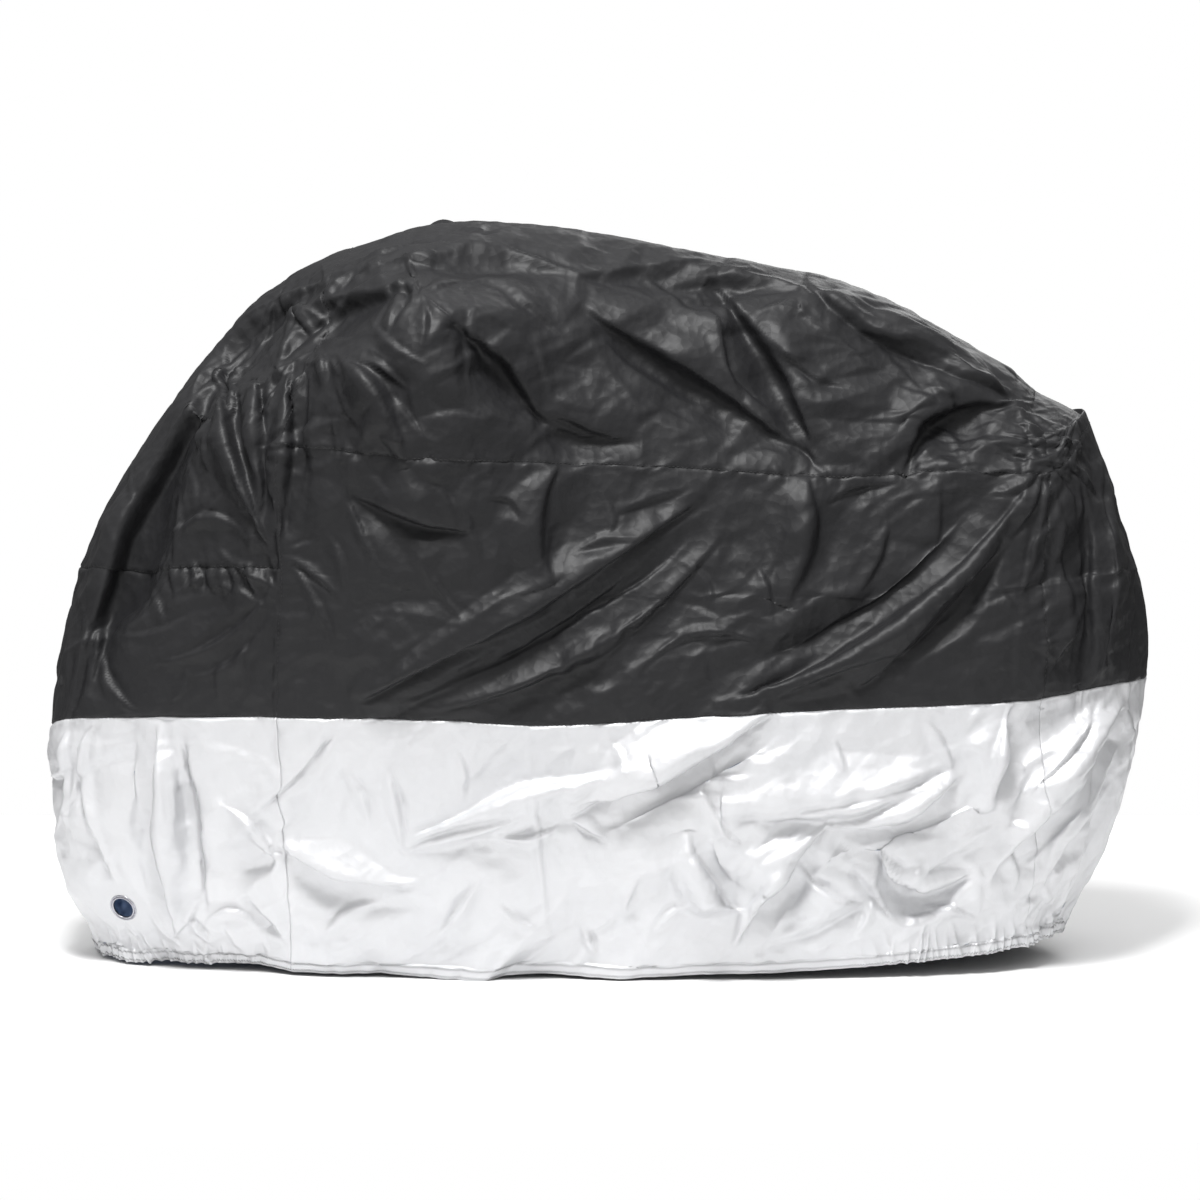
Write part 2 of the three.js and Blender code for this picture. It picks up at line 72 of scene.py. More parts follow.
# %% [markdown]
# ## The sizes that the cut starts from
# A cover like this is cut from patterns, and each pattern follows two families of lines: sections across
# the cover from nose to tail, and levels from the hem up to the centre line of the top. We write the same
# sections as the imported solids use, in millimetres, as (distance from the front, half width, height). A
# smooth surface through so few points keeps the cut of the cover, and everything that gravity does comes
# later.

# %% Sections and levels
LEVELS = ("hem", "tuck", "seam", "belt", "waist", "shoulder", "crown", "ridge")
SECTIONS = {
    "nose": dict(
        hem=(95, 0, 0), tuck=(25, 0, 205), seam=(10, 0, 460), belt=(80, 0, 775),
        waist=(205, 0, 1015), shoulder=(315, 0, 1180), crown=(415, 0, 1290), ridge=(505, 0, 1355),
    ),
    "nose cheek": dict(
        hem=(175, 130, 5), tuck=(90, 170, 205), seam=(75, 175, 495), belt=(150, 165, 790),
        waist=(265, 150, 1020), shoulder=(370, 125, 1180), crown=(470, 75, 1305), ridge=(550, 0, 1380),
    ),
    "front seam": dict(
        hem=(500, 240, 5), tuck=(500, 300, 200), seam=(480, 330, 520), belt=(490, 335, 810),
        waist=(500, 320, 1045), shoulder=(540, 270, 1220), crown=(580, 160, 1335), ridge=(615, 0, 1410),
    ),
    "bars": dict(
        hem=(765, 275, 0), tuck=(765, 340, 205), seam=(760, 385, 520), belt=(760, 405, 780),
        waist=(760, 420, 1030), shoulder=(765, 425, 1225), crown=(780, 330, 1360), ridge=(795, 0, 1455),
    ),
    "tank": dict(
        hem=(1025, 290, 0), tuck=(1025, 345, 205), seam=(1025, 380, 510), belt=(1025, 370, 765),
        waist=(1025, 345, 1015), shoulder=(1030, 300, 1200), crown=(1035, 220, 1340), ridge=(1040, 0, 1445),
    ),
    "saddle front": dict(
        hem=(1285, 290, 5), tuck=(1285, 335, 210), seam=(1285, 360, 525), belt=(1285, 330, 760),
        waist=(1285, 290, 1000), shoulder=(1290, 240, 1170), crown=(1295, 160, 1315), ridge=(1300, 0, 1400),
    ),
    "saddle back": dict(
        hem=(1545, 280, 15), tuck=(1545, 320, 220), seam=(1545, 335, 535), belt=(1545, 300, 755),
        waist=(1545, 260, 980), shoulder=(1555, 215, 1140), crown=(1560, 145, 1270), ridge=(1570, 0, 1345),
    ),
    "rack": dict(
        hem=(1785, 255, 30), tuck=(1785, 290, 240), seam=(1785, 305, 540), belt=(1785, 275, 765),
        waist=(1785, 240, 990), shoulder=(1795, 190, 1105), crown=(1805, 120, 1175), ridge=(1815, 0, 1230),
    ),
    "rear seam": dict(
        hem=(1945, 190, 45), tuck=(1965, 240, 255), seam=(1970, 255, 545), belt=(1970, 240, 770),
        waist=(1980, 215, 985), shoulder=(1975, 170, 1050), crown=(1965, 100, 1095), ridge=(1960, 0, 1135),
    ),
    "tail cheek": dict(
        hem=(2010, 100, 50), tuck=(2090, 140, 260), seam=(2135, 150, 560), belt=(2120, 140, 785),
        waist=(2050, 120, 1045), shoulder=(2035, 95, 1078), crown=(2014, 55, 1102), ridge=(1992, 0, 1117),
    ),
    "tail": dict(
        hem=(2035, 0, 40), tuck=(2145, 0, 275), seam=(2200, 0, 555), belt=(2180, 0, 770),
        waist=(2080, 0, 1065), shoulder=(2062, 0, 1080), crown=(2042, 0, 1092), ridge=(2018, 0, 1104),
    ),
}
FLIP = np.array([1.0, -1.0, 1.0])  # mirrors a point to the other side


def with_ghosts(table):
    """Adds the rows past the ends of the table, which the spline needs: below the hem it runs straight on,
    and past the ridge, the nose and the tail it is the other side of the cover."""
    below = 2 * table[:, :1] - table[:, 1:2]
    table = np.concatenate([below, table, table[:, -2:-1] * FLIP], axis=1)
    return np.concatenate([table[1:2] * FLIP, table, table[-2:-1] * FLIP], axis=0)


CUT = with_ghosts(np.array([[row[level] for level in LEVELS] for row in SECTIONS.values()], dtype=float))
HEM, SEAM, BELT, WAIST, RIDGE = (LEVELS.index(name) for name in ("hem", "seam", "belt", "waist", "ridge"))
NOSE, FRONT_SEAM, REAR_SEAM, TAIL = (
    list(SECTIONS).index(name) for name in ("nose", "front seam", "rear seam", "tail")
)
print("sections:", len(SECTIONS), "levels:", len(LEVELS))

# %% [markdown]
# ## One grid for the whole skin
# Creases run across seams without a care, so the skin is worked out in one piece and only cut into panels
# at the end. The near side, the ridge and the far side make one rectangular grid, closed on itself at the
# nose and the tail. That keeps every later step a plain calculation on arrays. Cells are about 5 mm, half
# as wide as the smallest crease that still reads from two steps away. Beside each seam stands a closer pair
# of lines, so that the seam can sink into the cloth.

# %% The skin's grid lines
STATION_CELLS = (42, 73, 53, 52, 52, 52, 48, 36, 35, 31)
LEVEL_CELLS = (42, 63, 57, 48, 41, 35, 48)
BESIDE_SEAM = 0.012  # of a section or level, about 3 mm
HEM_BAND = 24.0  # height of the casing that holds the elastic
BAND_EDGE = (0.117, 0.123)  # of the lowest level, on both sides of the casing's stitches


def grid_lines(cells, seams, extra=()):
    lines = [k + n / count for k, count in enumerate(cells) for n in range(count)] + [len(cells)]
    lines += [seam + side * BESIDE_SEAM for seam in seams for side in (-1, 1)] + list(extra)
    return sorted(lines)


US = grid_lines(STATION_CELLS, (FRONT_SEAM, REAR_SEAM))
VS = grid_lines(LEVEL_CELLS, (SEAM, BELT, WAIST), BAND_EDGE)


def spline_weights(lines, last):
    """For each line, how much of each table row a Catmull-Rom curve takes."""
    weights = np.zeros((len(lines), last + 3))
    for row, value in enumerate(lines):
        cell = min(int(value), last - 1)
        t = value - cell
        weights[row, cell:cell + 4] = (
            0.5 * (-t + 2 * t**2 - t**3),
            0.5 * (2 - 5 * t**2 + 3 * t**3),
            0.5 * (t + 4 * t**2 - 3 * t**3),
            0.5 * (-t**2 + t**3),
        )
    return weights


def shell_points(us, vs):
    """Points of the smooth shell on the side where y is positive."""
    points = np.einsum("ia,abk,jb->ijk", spline_weights(us, TAIL), CUT, spline_weights(vs, RIDGE))
    points[[u in (NOSE, TAIL) for u in us], :, 1] = 0
    points[:, [v == RIDGE for v in vs], 1] = 0
    return points


def both_sides(far):
    """The near side's columns from the hem up, then the far side's from the ridge down."""
    return np.concatenate([far * FLIP, far[:, -2::-1]], axis=1)


shell = both_sides(shell_points(US, VS))
LAST_I, LAST_J = shell.shape[0] - 1, shell.shape[1] - 1
ROW = {level: VS.index(level) for level in (HEM, SEAM, BELT, WAIST, RIDGE)}
COLUMN = {station: US.index(station) for station in (NOSE, FRONT_SEAM, REAR_SEAM, TAIL)}
print("skin grid:", shell.shape[:2], "cells:", LAST_I * LAST_J)


# %% Normals and lengths on the grid
def normals_of(grid):
    """Unit normals. Past the nose and the tail the grid goes on with the other side."""
    closed = np.concatenate([grid[1:2, ::-1], grid, grid[-2:-1, ::-1]], axis=0)
    along_u = closed[2:] - closed[:-2]
    along_v = np.gradient(grid, axis=1)
    normal = np.cross(along_u, along_v)
    return normal / np.maximum(np.linalg.norm(normal, axis=2, keepdims=True), 1e-9)


def run_along(grid, axis):
    """The length of cloth from the grid's first line, along one axis."""
    steps = np.linalg.norm(np.diff(grid, axis=axis), axis=2)
    start = np.zeros_like(np.take(steps, [0], axis=axis))
    return np.concatenate([start, np.cumsum(steps, axis=axis)], axis=axis)


def ease(t):
    s = np.clip(t, 0, 1)
    return s * s * (3 - 2 * s)


# %% [markdown]
# ## The main folds
# Seen from the side, each big fold is a line: it comes from a gather, a handlebar or a corner and runs out
# somewhere below. A crest line with a middle point, a width and a height describes it, and a hollow beside
# the crest makes it lean over as real cloth does. These are the folds that the solids have too, in the same
# table, so the dressed cover stays on its solids. Negative heights are valleys.

# %% Tables of the main folds
# From, middle and to as (distance from the front, height), then width, height, and the share of the hollow.
NEAR_FOLDS = {
    "behind_nose_roll": ((112, 540), (192, 840), (318, 1090), 38, -42, 0.5),
    "under_top_roll": ((318, 1090), (402, 1230), (575, 1345), 38, -40, 0.5),
    "under_top_roll_2": ((484, 1190), (590, 1285), (800, 1350), 36, -26, 0.5),
    "under_ridge": ((690, 1370), (860, 1385), (1060, 1355), 42, -24, 0.4),
    "along_ridge": ((1040, 1350), (1300, 1345), (1560, 1300), 42, -20, 0.4),
    "front_drape_1": ((368, 1175), (378, 1060), (470, 850), 28, 24, 0.8),
    "front_drape_2": ((436, 1185), (446, 1060), (452, 880), 24, 24, 0.8),
    "front_drape_3": ((504, 1206), (496, 1040), (490, 820), 26, 26, 0.8),
    "bar_to_waist": ((610, 1209), (680, 1150), (740, 1015), 32, 24, 0.7),
    "behind_bar": ((820, 1290), (910, 1190), (1000, 1080), 38, -28, 0.6),
    "ridge_to_waist_1": ((1064, 1310), (1260, 1165), (1530, 1010), 38, -28, 0.6),
    "ridge_to_waist_2": ((1316, 1354), (1430, 1190), (1534, 985), 34, -28, 0.6),
    "above_waist": ((980, 1130), (1045, 1070), (1185, 1050), 34, -20, 0.5),
    "down_to_rack": ((1506, 1346), (1690, 1250), (1960, 1110), 38, 26, -0.9),
    "above_gather": ((1698, 985), (1780, 1075), (1930, 1105), 34, -30, 0.6),
    "gather_pull_1": ((1322, 552), (1670, 690), (1950, 975), 36, 32, 0.9),
    "gather_pull_2": ((1600, 570), (1776, 735), (1890, 860), 30, -20, 0.5),
    "belt_sweep": ((626, 558), (984, 745), (1310, 950), 36, 30, -0.9),
    "belt_sweep_2": ((730, 538), (1090, 660), (1350, 890), 34, 18, -0.7),
    "middle_drape": ((1030, 1015), (985, 900), (1010, 790), 40, 22, 0.8),
    "front_seam_sag": ((620, 960), (740, 905), (870, 890), 32, -20, 0.5),
    "waist_step": ((1504, 985), (1500, 870), (1460, 740), 36, 18, 0.6),
    "tail_hollow": ((2030, 985), (2056, 800), (2044, 575), 28, -28, 0.5),
    "tail_pleat": ((2092, 930), (2098, 790), (2096, 590), 26, 24, 0.6),
    "long_skirt_fold": ((1440, 538), (1262, 442), (1040, 330), 36, 28, 0.9),
    "skirt_lens": ((740, 285), (960, 372), (1200, 430), 38, 24, 0.9),
    "down_to_hem": ((1560, 312), (1450, 210), (1368, 58), 34, 26, 0.9),
    "above_hem_fold": ((1804, 405), (1690, 345), (1530, 300), 36, 22, 0.8),
    "rear_broad_fold": ((1350, 345), (1570, 360), (1800, 440), 44, 18, -0.5),
    "skirt_curve": ((1272, 296), (1306, 190), (1390, 140), 30, 18, 0.6),
    "front_skirt_1": ((598, 498), (516, 400), (420, 300), 34, 24, 0.8),
    "front_skirt_2": ((364, 350), (448, 270), (506, 110), 30, 22, -0.8),
    "front_skirt_3": ((476, 276), (590, 218), (760, 192), 32, 20, -0.8),
    "behind_eyelet": ((244, 500), (246, 290), (274, 60), 28, 28, -0.9),
    "behind_eyelet_2": ((300, 470), (322, 310), (338, 110), 28, -20, 0.6),
    "corner_fold_1": ((2150, 520), (2030, 400), (1860, 175), 34, 28, 0.8),
    "corner_fold_2": ((2120, 440), (2040, 310), (1975, 150), 28, 20, 0.7),
    "rear_seam_fold": ((1904, 540), (1880, 450), (1856, 340), 34, 20, 0.7),
    "rear_hem_point": ((1650, 270), (1712, 165), (1840, 210), 30, -24, 0.7),
}
FAR_FOLDS = {
    "behind_nose_roll": ((120, 580), (206, 860), (330, 1095), 38, -34, 0.5),
    "under_top_roll": ((330, 1095), (430, 1240), (640, 1330), 38, -30, 0.5),
    "under_ridge": ((720, 1375), (960, 1370), (1240, 1330), 42, -24, 0.4),
    "front_drape_1": ((430, 1190), (430, 1050), (470, 800), 28, 26, 0.8),
    "front_drape_2": ((520, 1180), (516, 1020), (500, 830), 26, 22, 0.8),
    "bar_pull": ((700, 1200), (860, 1060), (960, 860), 38, 26, -0.7),
    "behind_bar": ((860, 1290), (1050, 1150), (1230, 1020), 38, -28, 0.6),
    "ridge_to_waist": ((1240, 1330), (1380, 1180), (1480, 960), 36, -28, 0.6),
    "down_to_rack": ((1480, 1340), (1660, 1230), (1940, 1100), 38, 24, -0.9),
    "gather_pull": ((1380, 600), (1710, 740), (1945, 960), 36, 30, 0.9),
    "belt_sweep": ((560, 580), (960, 700), (1290, 880), 38, 26, -0.9),
    "waist_drape": ((1180, 985), (1150, 880), (1170, 790), 38, 20, 0.8),
    "tail_hollow": ((2040, 985), (2060, 800), (2050, 590), 28, -26, 0.5),
    "tail_pleat": ((2096, 920), (2100, 780), (2096, 600), 26, 20, 0.6),
    "long_skirt_fold": ((1600, 490), (1380, 370), (1060, 300), 38, 26, 0.9),
    "under_seam": ((620, 380), (820, 440), (1020, 450), 36, 22, 0.8),
    "down_to_hem": ((1050, 420), (910, 260), (870, 60), 36, 24, 0.8),
    "behind_eyelet": ((262, 490), (266, 290), (290, 70), 28, 26, -0.8),
    "front_skirt_1": ((560, 470), (480, 340), (400, 230), 34, 20, 0.8),
    "corner_fold_1": ((2130, 490), (1990, 340), (1800, 160), 36, 26, 0.8),
    "corner_fold_2": ((2110, 400), (2030, 270), (1960, 130), 28, 18, 0.7),
}
CREST_STEPS = 12
FOLD_REACH = 4.5  # no fold is felt further from its crest than this many of its widths
SIDE_BLEND = 120.0  # how far from the centre line one side's folds pass into the other's
HOLLOW_AT = 1.6  # how far from the crest of a round fold its hollow lies, in widths of the fold
STEEP, GENTLE = 1.1, 0.45  # how fast the flanks of a flat fold fall, in widths
CREST_SOFT = 0.01
HOLLOW_DEEP = 0.6
HOLLOW_NEAR, HOLLOW_FAR = 0.6, 1.5  # how far a flat fold's hollow reaches, towards the crest and away from it
POINTED = 1.4  # a larger number makes the ends of a flat fold blunter
NARROWEST = 0.3  # share of its width that a flat fold keeps at its ends


def crest_line(start, middle, end):
    """Points on a bent line that passes through its middle place."""
    start, middle, end = (np.array(p, dtype=float) for p in (start, middle, end))
    pull = 2 * middle - (start + end) / 2
    t = np.linspace(0, 1, CREST_STEPS + 1)[:, None]
    return (1 - t) ** 2 * start + 2 * t * (1 - t) * pull + t**2 * end


def round_fold(share, across, lee):
    """A rounded crest with a hollow beside it. Share is the place along the crest, from 0 to 1."""
    taper = np.sqrt(np.maximum(0, 4 * share * (1 - share)))
    hollow = np.exp(-((across - HOLLOW_AT * np.sign(lee)) ** 2))
    return taper * (np.exp(-across**2) - abs(lee) * hollow)


def flat_fold(share, across, lee):
    """Flat flanks that meet in creases and run out to a point: a broad one, and a steep one on the lee."""
    taper = 1 - np.abs(2 * share - 1) ** POINTED
    across = across * np.sign(lee) / np.maximum(taper, NARROWEST)
    crest = 1 - np.where(across > 0, STEEP, GENTLE) * np.sqrt(across**2 + CREST_SOFT)
    hollow = 1 - np.abs(across - 1 / STEEP) / np.where(across > 1 / STEEP, HOLLOW_FAR, HOLLOW_NEAR)
    return taper * (np.maximum(crest, 0) - abs(lee) * HOLLOW_DEEP * np.maximum(hollow, 0))


def lay_fold(lift, place, fold, profile):
    """Adds one fold's height to lift, wherever the place (x, z) on the grid is near its crest."""
    start, middle, end, wide, high, lee = fold
    crest = crest_line(start, middle, end)
    reach = FOLD_REACH * wide
    near = ((place > crest.min(axis=0) - reach) & (place < crest.max(axis=0) + reach)).all(axis=2)
    spot = place[near]
    best = np.full(len(spot), np.inf)
    share = np.zeros(len(spot))
    side = np.zeros(len(spot))
    for k in range(CREST_STEPS):
        along = crest[k + 1] - crest[k]
        away = spot - crest[k]
        t = np.clip(away @ along / (along @ along), 0, 1)
        gap = np.linalg.norm(away - t[:, None] * along, axis=1)
        closer = gap < best
        best = np.where(closer, gap, best)
        share = np.where(closer, (k + t) / CREST_STEPS, share)
        side = np.where(closer, np.sign(along[0] * away[:, 1] - along[1] * away[:, 0]), side)
    lift[near] += high * profile(share, best * side / wide, lee)


def lay_folds(grid, tables, profile):
    """Both sides' folds on one grid, each side's fading into the other's at the centre line."""
    place = grid[:, :, [0, 2]]
    lifts = []
    for folds in tables:
        lift = np.zeros(grid.shape[:2])
        for fold in folds:
            lay_fold(lift, place, fold, profile)
        lifts.append(lift)
    far = ease(0.5 + grid[:, :, 1] / (2 * SIDE_BLEND))
    return (1 - far) * lifts[0] + far * lifts[1]


main_lift = lay_folds(shell, (NEAR_FOLDS.values(), FAR_FOLDS.values()), round_fold)
folded = shell + normals_of(shell) * main_lift[:, :, None]
print("main folds:", len(NEAR_FOLDS) + len(FAR_FOLDS), "deepest:", round(float(main_lift.min())), "mm")

# %% [markdown]
# ## Smaller folds, placed one by one
# The near side has its own pattern of drag lines: starbursts where the bars and the front seam take the
# strain, pleats fanning out of the gathers, long diagonals down to the hem. They are narrower and more
# pointed than the main folds, because the coating makes this cloth crease like paper. The far side gets the
# same list moved a little, since nobody can see both sides at once.

# %% Table of the smaller folds
FINE_FOLDS = [
    # valley along the nose roll
    ((40, 430), (196, 850), (420, 1230), 25, -26, 0.8),
    ((222, 910), (356, 1130), (530, 1345), 20, -18, 0.7),
    ((14, 500), (140, 860), (352, 1200), 22, 9, 0.3),
    ((640, 550), (930, 700), (1330, 935), 24, -22, -0.5),
    ((430, 1240), (480, 1304), (590, 1354), 16, 9, 0.8),
    # pleats under the front corner
    ((382, 1180), (392, 1112), (396, 1040), 11, 9, 0.8),
    ((420, 1180), (438, 1052), (450, 910), 12, 9, -0.8),
    ((364, 1184), (378, 1060), (436, 906), 13, 8, 0.7),
    ((470, 1208), (466, 1072), (486, 940), 12, 9, -0.8),
    ((542, 1202), (542, 1102), (508, 1004), 13, -10, 0.6),
    ((606, 1220), (674, 1168), (738, 1024), 9, 7, 0.8),
    ((690, 1172), (732, 1120), (768, 1056), 9, 6, 0.8),
    ((582, 1224), (598, 1204), (618, 1178), 8, 5, 0.7),
    # star at the front corner
    ((550, 1242), (590, 1248), (638, 1258), 8, 6, 0.7),
    ((550, 1242), (582, 1278), (610, 1318), 8, 6, -0.7),
    ((550, 1242), (530, 1278), (522, 1318), 8, 5, 0.6),
    ((550, 1242), (574, 1208), (586, 1152), 8, 6, 0.6),
    # star over the bar
    ((772, 1332), (734, 1342), (690, 1346), 8, 6, 0.7),
    ((772, 1332), (754, 1366), (726, 1398), 8, 5, 0.7),
    ((772, 1332), (810, 1354), (862, 1362), 9, 6, -0.7),
    ((772, 1332), (806, 1306), (846, 1274), 9, 7, 0.7),
    ((772, 1332), (778, 1286), (766, 1232), 8, 6, 0.6),
    ((772, 1332), (738, 1298), (702, 1254), 8, 5, -0.6),
    ((840, 1278), (910, 1208), (966, 1126), 16, -11, 0.7),
    ((854, 1356), (946, 1342), (1046, 1236), 13, 9, -0.7),
    ((984, 1134), (1042, 1080), (1156, 1054), 12, 8, 0.7),
    ((906, 1430), (996, 1384), (1106, 1354), 10, 6, 0.7),
    ((626, 1374), (706, 1414), (816, 1430), 10, 6, 0.7),
    ((666, 1294), (710, 1248), (786, 1208), 10, 6, 0.7),
    # top, from the ridge to the waist seam
    ((1130, 1414), (1386, 1398), (1628, 1368), 8, 5, 0.7),
    ((866, 1454), (1026, 1446), (1186, 1422), 8, 4, 0.7),
    ((1186, 1374), (1286, 1294), (1390, 1248), 14, 8, 0.7),
    ((1106, 1248), (1206, 1168), (1338, 1104), 13, 8, 0.8),
    ((1286, 1354), (1350, 1208), (1390, 1072), 11, 7, 0.7),
    ((1390, 1294), (1486, 1192), (1618, 1144), 13, -8, 0.7),
    ((1464, 1092), (1506, 1048), (1536, 996), 10, 8, 0.7),
    ((1766, 1066), (1734, 1028), (1698, 996), 10, 8, -0.7),
    # rack
    ((1566, 1266), (1734, 1216), (1842, 1168), 14, -9, 0.7),
    ((1704, 994), (1782, 1064), (1878, 1126), 12, 9, 0.8),
    ((1598, 1322), (1746, 1248), (1906, 1172), 10, 6, 0.7),
    ((1830, 1092), (1906, 1112), (1994, 1104), 10, 6, 0.7),
    # fan at the rear corner
    ((1968, 996), (1918, 958), (1862, 938), 9, 8, 0.8),
    ((1968, 996), (1934, 910), (1882, 846), 10, 8, 0.7),
    ((1974, 996), (1954, 870), (1914, 726), 11, 7, -0.7),
    ((1974, 1004), (1922, 1028), (1866, 1048), 9, 6, 0.7),
    ((1978, 1012), (1950, 1056), (1922, 1088), 9, 6, 0.7),
    ((1982, 1004), (2006, 950), (2018, 870), 9, 7, 0.7),
    ((1882, 846), (1796, 764), (1668, 618), 14, 9, 0.8),
    ((1826, 910), (1706, 790), (1558, 708), 14, 8, 0.8),
    # sweep across the side
    ((692, 926), (766, 898), (846, 892), 13, -8, 0.8),
    ((1054, 836), (1118, 858), (1186, 866), 12, -9, 0.7),
    ((1122, 910), (1206, 934), (1286, 966), 11, -7, 0.7),
    ((1286, 870), (1146, 750), (946, 648), 11, 8, -0.8),
    ((1026, 692), (866, 612), (706, 548), 10, 8, -0.8),
    ((1186, 614), (1290, 672), (1426, 664), 13, -9, 0.7),
    ((846, 940), (862, 890), (878, 838), 15, 9, 0.8),
    ((886, 950), (930, 938), (962, 898), 11, -8, 0.6),
    ((754, 860), (798, 782), (856, 708), 8, 6, 0.6),
    ((1030, 1004), (1002, 910), (998, 794), 22, -12, 0.7),
    ((1536, 926), (1610, 950), (1684, 968), 14, -9, 0.7),
    # tail
    ((2030, 985), (2062, 750), (2040, 440), 13, -11, 0.7),
    ((1990, 962), (2008, 800), (2026, 560), 10, 7, 0.8),
    ((2058, 930), (2084, 730), (2066, 470), 11, 9, 0.8),
    ((2082, 920), (2112, 760), (2110, 500), 12, -9, 0.7),
    ((2100, 980), (2148, 780), (2150, 460), 14, 8, 0.7),
    ((1994, 1016), (2034, 962), (2076, 902), 9, 7, 0.7),
    ((2086, 1102), (2098, 992), (2102, 870), 9, 7, 0.7),
    ((2034, 734), (2010, 656), (1974, 588), 10, 7, 0.7),
    ((2126, 950), (2154, 830), (2162, 668), 10, 6, 0.7),
    # side panel
    ((1546, 656), (1434, 604), (1328, 550), 11, 8, 0.8),
    ((1226, 860), (1046, 726), (766, 568), 10, 8, 0.7),
    ((852, 668), (754, 624), (666, 584), 10, 7, 0.7),
    ((1706, 668), (1546, 612), (1406, 540), 10, 8, 0.8),
    ((610, 1012), (650, 890), (710, 790), 9, 6, 0.7),
    ((506, 830), (566, 738), (598, 648), 9, 7, 0.7),
    ((494, 834), (550, 806), (618, 746), 8, 7, -0.7),
    ((494, 846), (542, 858), (570, 870), 8, 6, 0.7),
    ((566, 910), (610, 830), (618, 750), 9, 5, 0.7),
    ((1106, 958), (1130, 910), (1114, 870), 9, 6, 0.7),
    ((1666, 910), (1646, 830), (1598, 758), 12, 7, 0.7),
    ((1390, 830), (1426, 770), (1434, 688), 10, 5, 0.7),
    ((1246, 830), (1306, 790), (1322, 708), 10, 5, 0.7),
    ((766, 982), (816, 950), (838, 870), 9, 6, 0.7),
    # nose panels
    ((478, 778), (378, 668), (246, 620), 15, 12, -0.9),
    ((482, 738), (394, 624), (298, 596), 11, 8, -0.8),
    ((126, 648), (154, 560), (226, 516), 12, 9, 0.8),
    ((302, 624), (298, 568), (250, 536), 9, 6, 0.7),
    ((162, 668), (246, 676), (318, 726), 11, 7, 0.7),
    ((206, 770), (242, 726), (262, 668), 10, 6, 0.7),
    ((278, 950), (286, 890), (274, 830), 9, 7, 0.7),
    ((270, 846), (358, 902), (458, 830), 12, 9, 0.8),
    ((386, 1072), (418, 950), (478, 830), 10, 8, -0.8),
    ((370, 930), (430, 878), (486, 818), 9, 7, 0.7),
    ((298, 1012), (318, 954), (318, 910), 9, 5, 0.7),
    ((430, 708), (414, 628), (426, 548), 11, 7, 0.7),
    ((378, 668), (366, 588), (370, 532), 11, 6, -0.7),
    # nose roll
    ((98, 830), (166, 950), (258, 1092), 8, 5, 0.7),
    ((166, 1012), (186, 950), (206, 890), 8, 5, 0.6),
    ((74, 730), (98, 668), (102, 568), 9, 7, 0.8),
    ((54, 668), (50, 588), (46, 516), 8, 5, 0.7),
    ((306, 1112), (326, 1152), (370, 1208), 8, 5, 0.7),
    # skirt at the nose
    ((62, 486), (50, 398), (62, 200), 9, 8, 0.8),
    ((118, 486), (90, 362), (190, 80), 10, 9, -0.8),
    ((78, 458), (74, 366), (18, 256), 9, 6, 0.7),
    ((206, 488), (218, 366), (198, 246), 12, 6, 0.7),
    ((2, 370), (30, 366), (70, 402), 9, -8, 0.6),
    ((312, 374), (322, 246), (338, 116), 13, 10, 0.9),
    ((274, 486), (322, 322), (346, 132), 9, 8, 0.8),
    ((258, 468), (270, 346), (250, 246), 8, 6, -0.7),
    ((364, 348), (442, 294), (502, 188), 13, 10, 0.9),
    ((404, 176), (446, 116), (498, 56), 12, -9, 0.8),
    ((506, 346), (486, 282), (430, 226), 9, 5, 0.7),
    ((318, 84), (386, 128), (446, 84), 9, 7, 0.7),
    ((270, 134), (318, 84), (334, 40), 8, 7, 0.7),
    ((258, 54), (298, 108), (322, 152), 8, 7, -0.7),
    # middle of the skirt
    ((690, 442), (714, 350), (730, 256), 12, 8, 0.8),
    ((722, 260), (834, 294), (966, 346), 12, 8, 0.8),
    ((598, 498), (546, 406), (470, 346), 14, -8, 0.8),
    ((906, 302), (966, 290), (1038, 322), 10, 8, 0.8),
    ((1038, 322), (1086, 310), (1130, 266), 10, 8, -0.8),
    ((1052, 346), (1106, 362), (1174, 374), 11, -8, 0.8),
    ((1272, 296), (1314, 186), (1384, 144), 12, 9, 0.9),
    ((1376, 140), (1450, 202), (1506, 270), 12, 9, 0.9),
    ((1440, 200), (1394, 128), (1362, 56), 11, 8, 0.8),
    ((1298, 408), (1338, 322), (1394, 280), 10, 7, 0.8),
    ((1298, 408), (1350, 394), (1426, 406), 9, 6, 0.7),
    ((1186, 214), (1162, 176), (1154, 132), 10, 7, 0.7),
    ((1074, 110), (1086, 72), (1106, 40), 9, 7, 0.7),
    ((788, 92), (838, 148), (874, 214), 11, 7, 0.8),
    ((1210, 92), (1234, 132), (1286, 164), 10, 6, 0.7),
    ((566, 84), (610, 132), (682, 164), 11, 6, 0.7),
    # where the cloth was packed
    ((1186, 354), (1306, 362), (1426, 358), 7, 4, 0.6),
    ((972, 464), (990, 246), (1012, 44), 7, 4, 0.6),
    ((506, 464), (512, 246), (506, 44), 7, 4, 0.6),
    ((1314, 488), (1318, 426), (1314, 366), 7, 3, 0.6),
    # rear of the skirt
    ((1654, 264), (1682, 218), (1708, 172), 11, 9, 0.8),
    ((1708, 172), (1766, 198), (1862, 202), 11, 8, 0.8),
    ((1586, 226), (1622, 186), (1686, 102), 12, -9, 0.8),
    ((2114, 470), (2034, 334), (1976, 176), 12, 9, 0.9),
    ((2094, 548), (2026, 446), (1926, 346), 12, 9, 0.9),
    ((2098, 472), (2058, 418), (2002, 374), 9, 6, 0.7),
    ((2086, 346), (2058, 246), (2026, 144), 10, 7, 0.8),
    ((2158, 548), (2142, 386), (2102, 226), 10, 6, 0.7),
    ((1900, 540), (1882, 446), (1858, 356), 13, 9, -0.9),
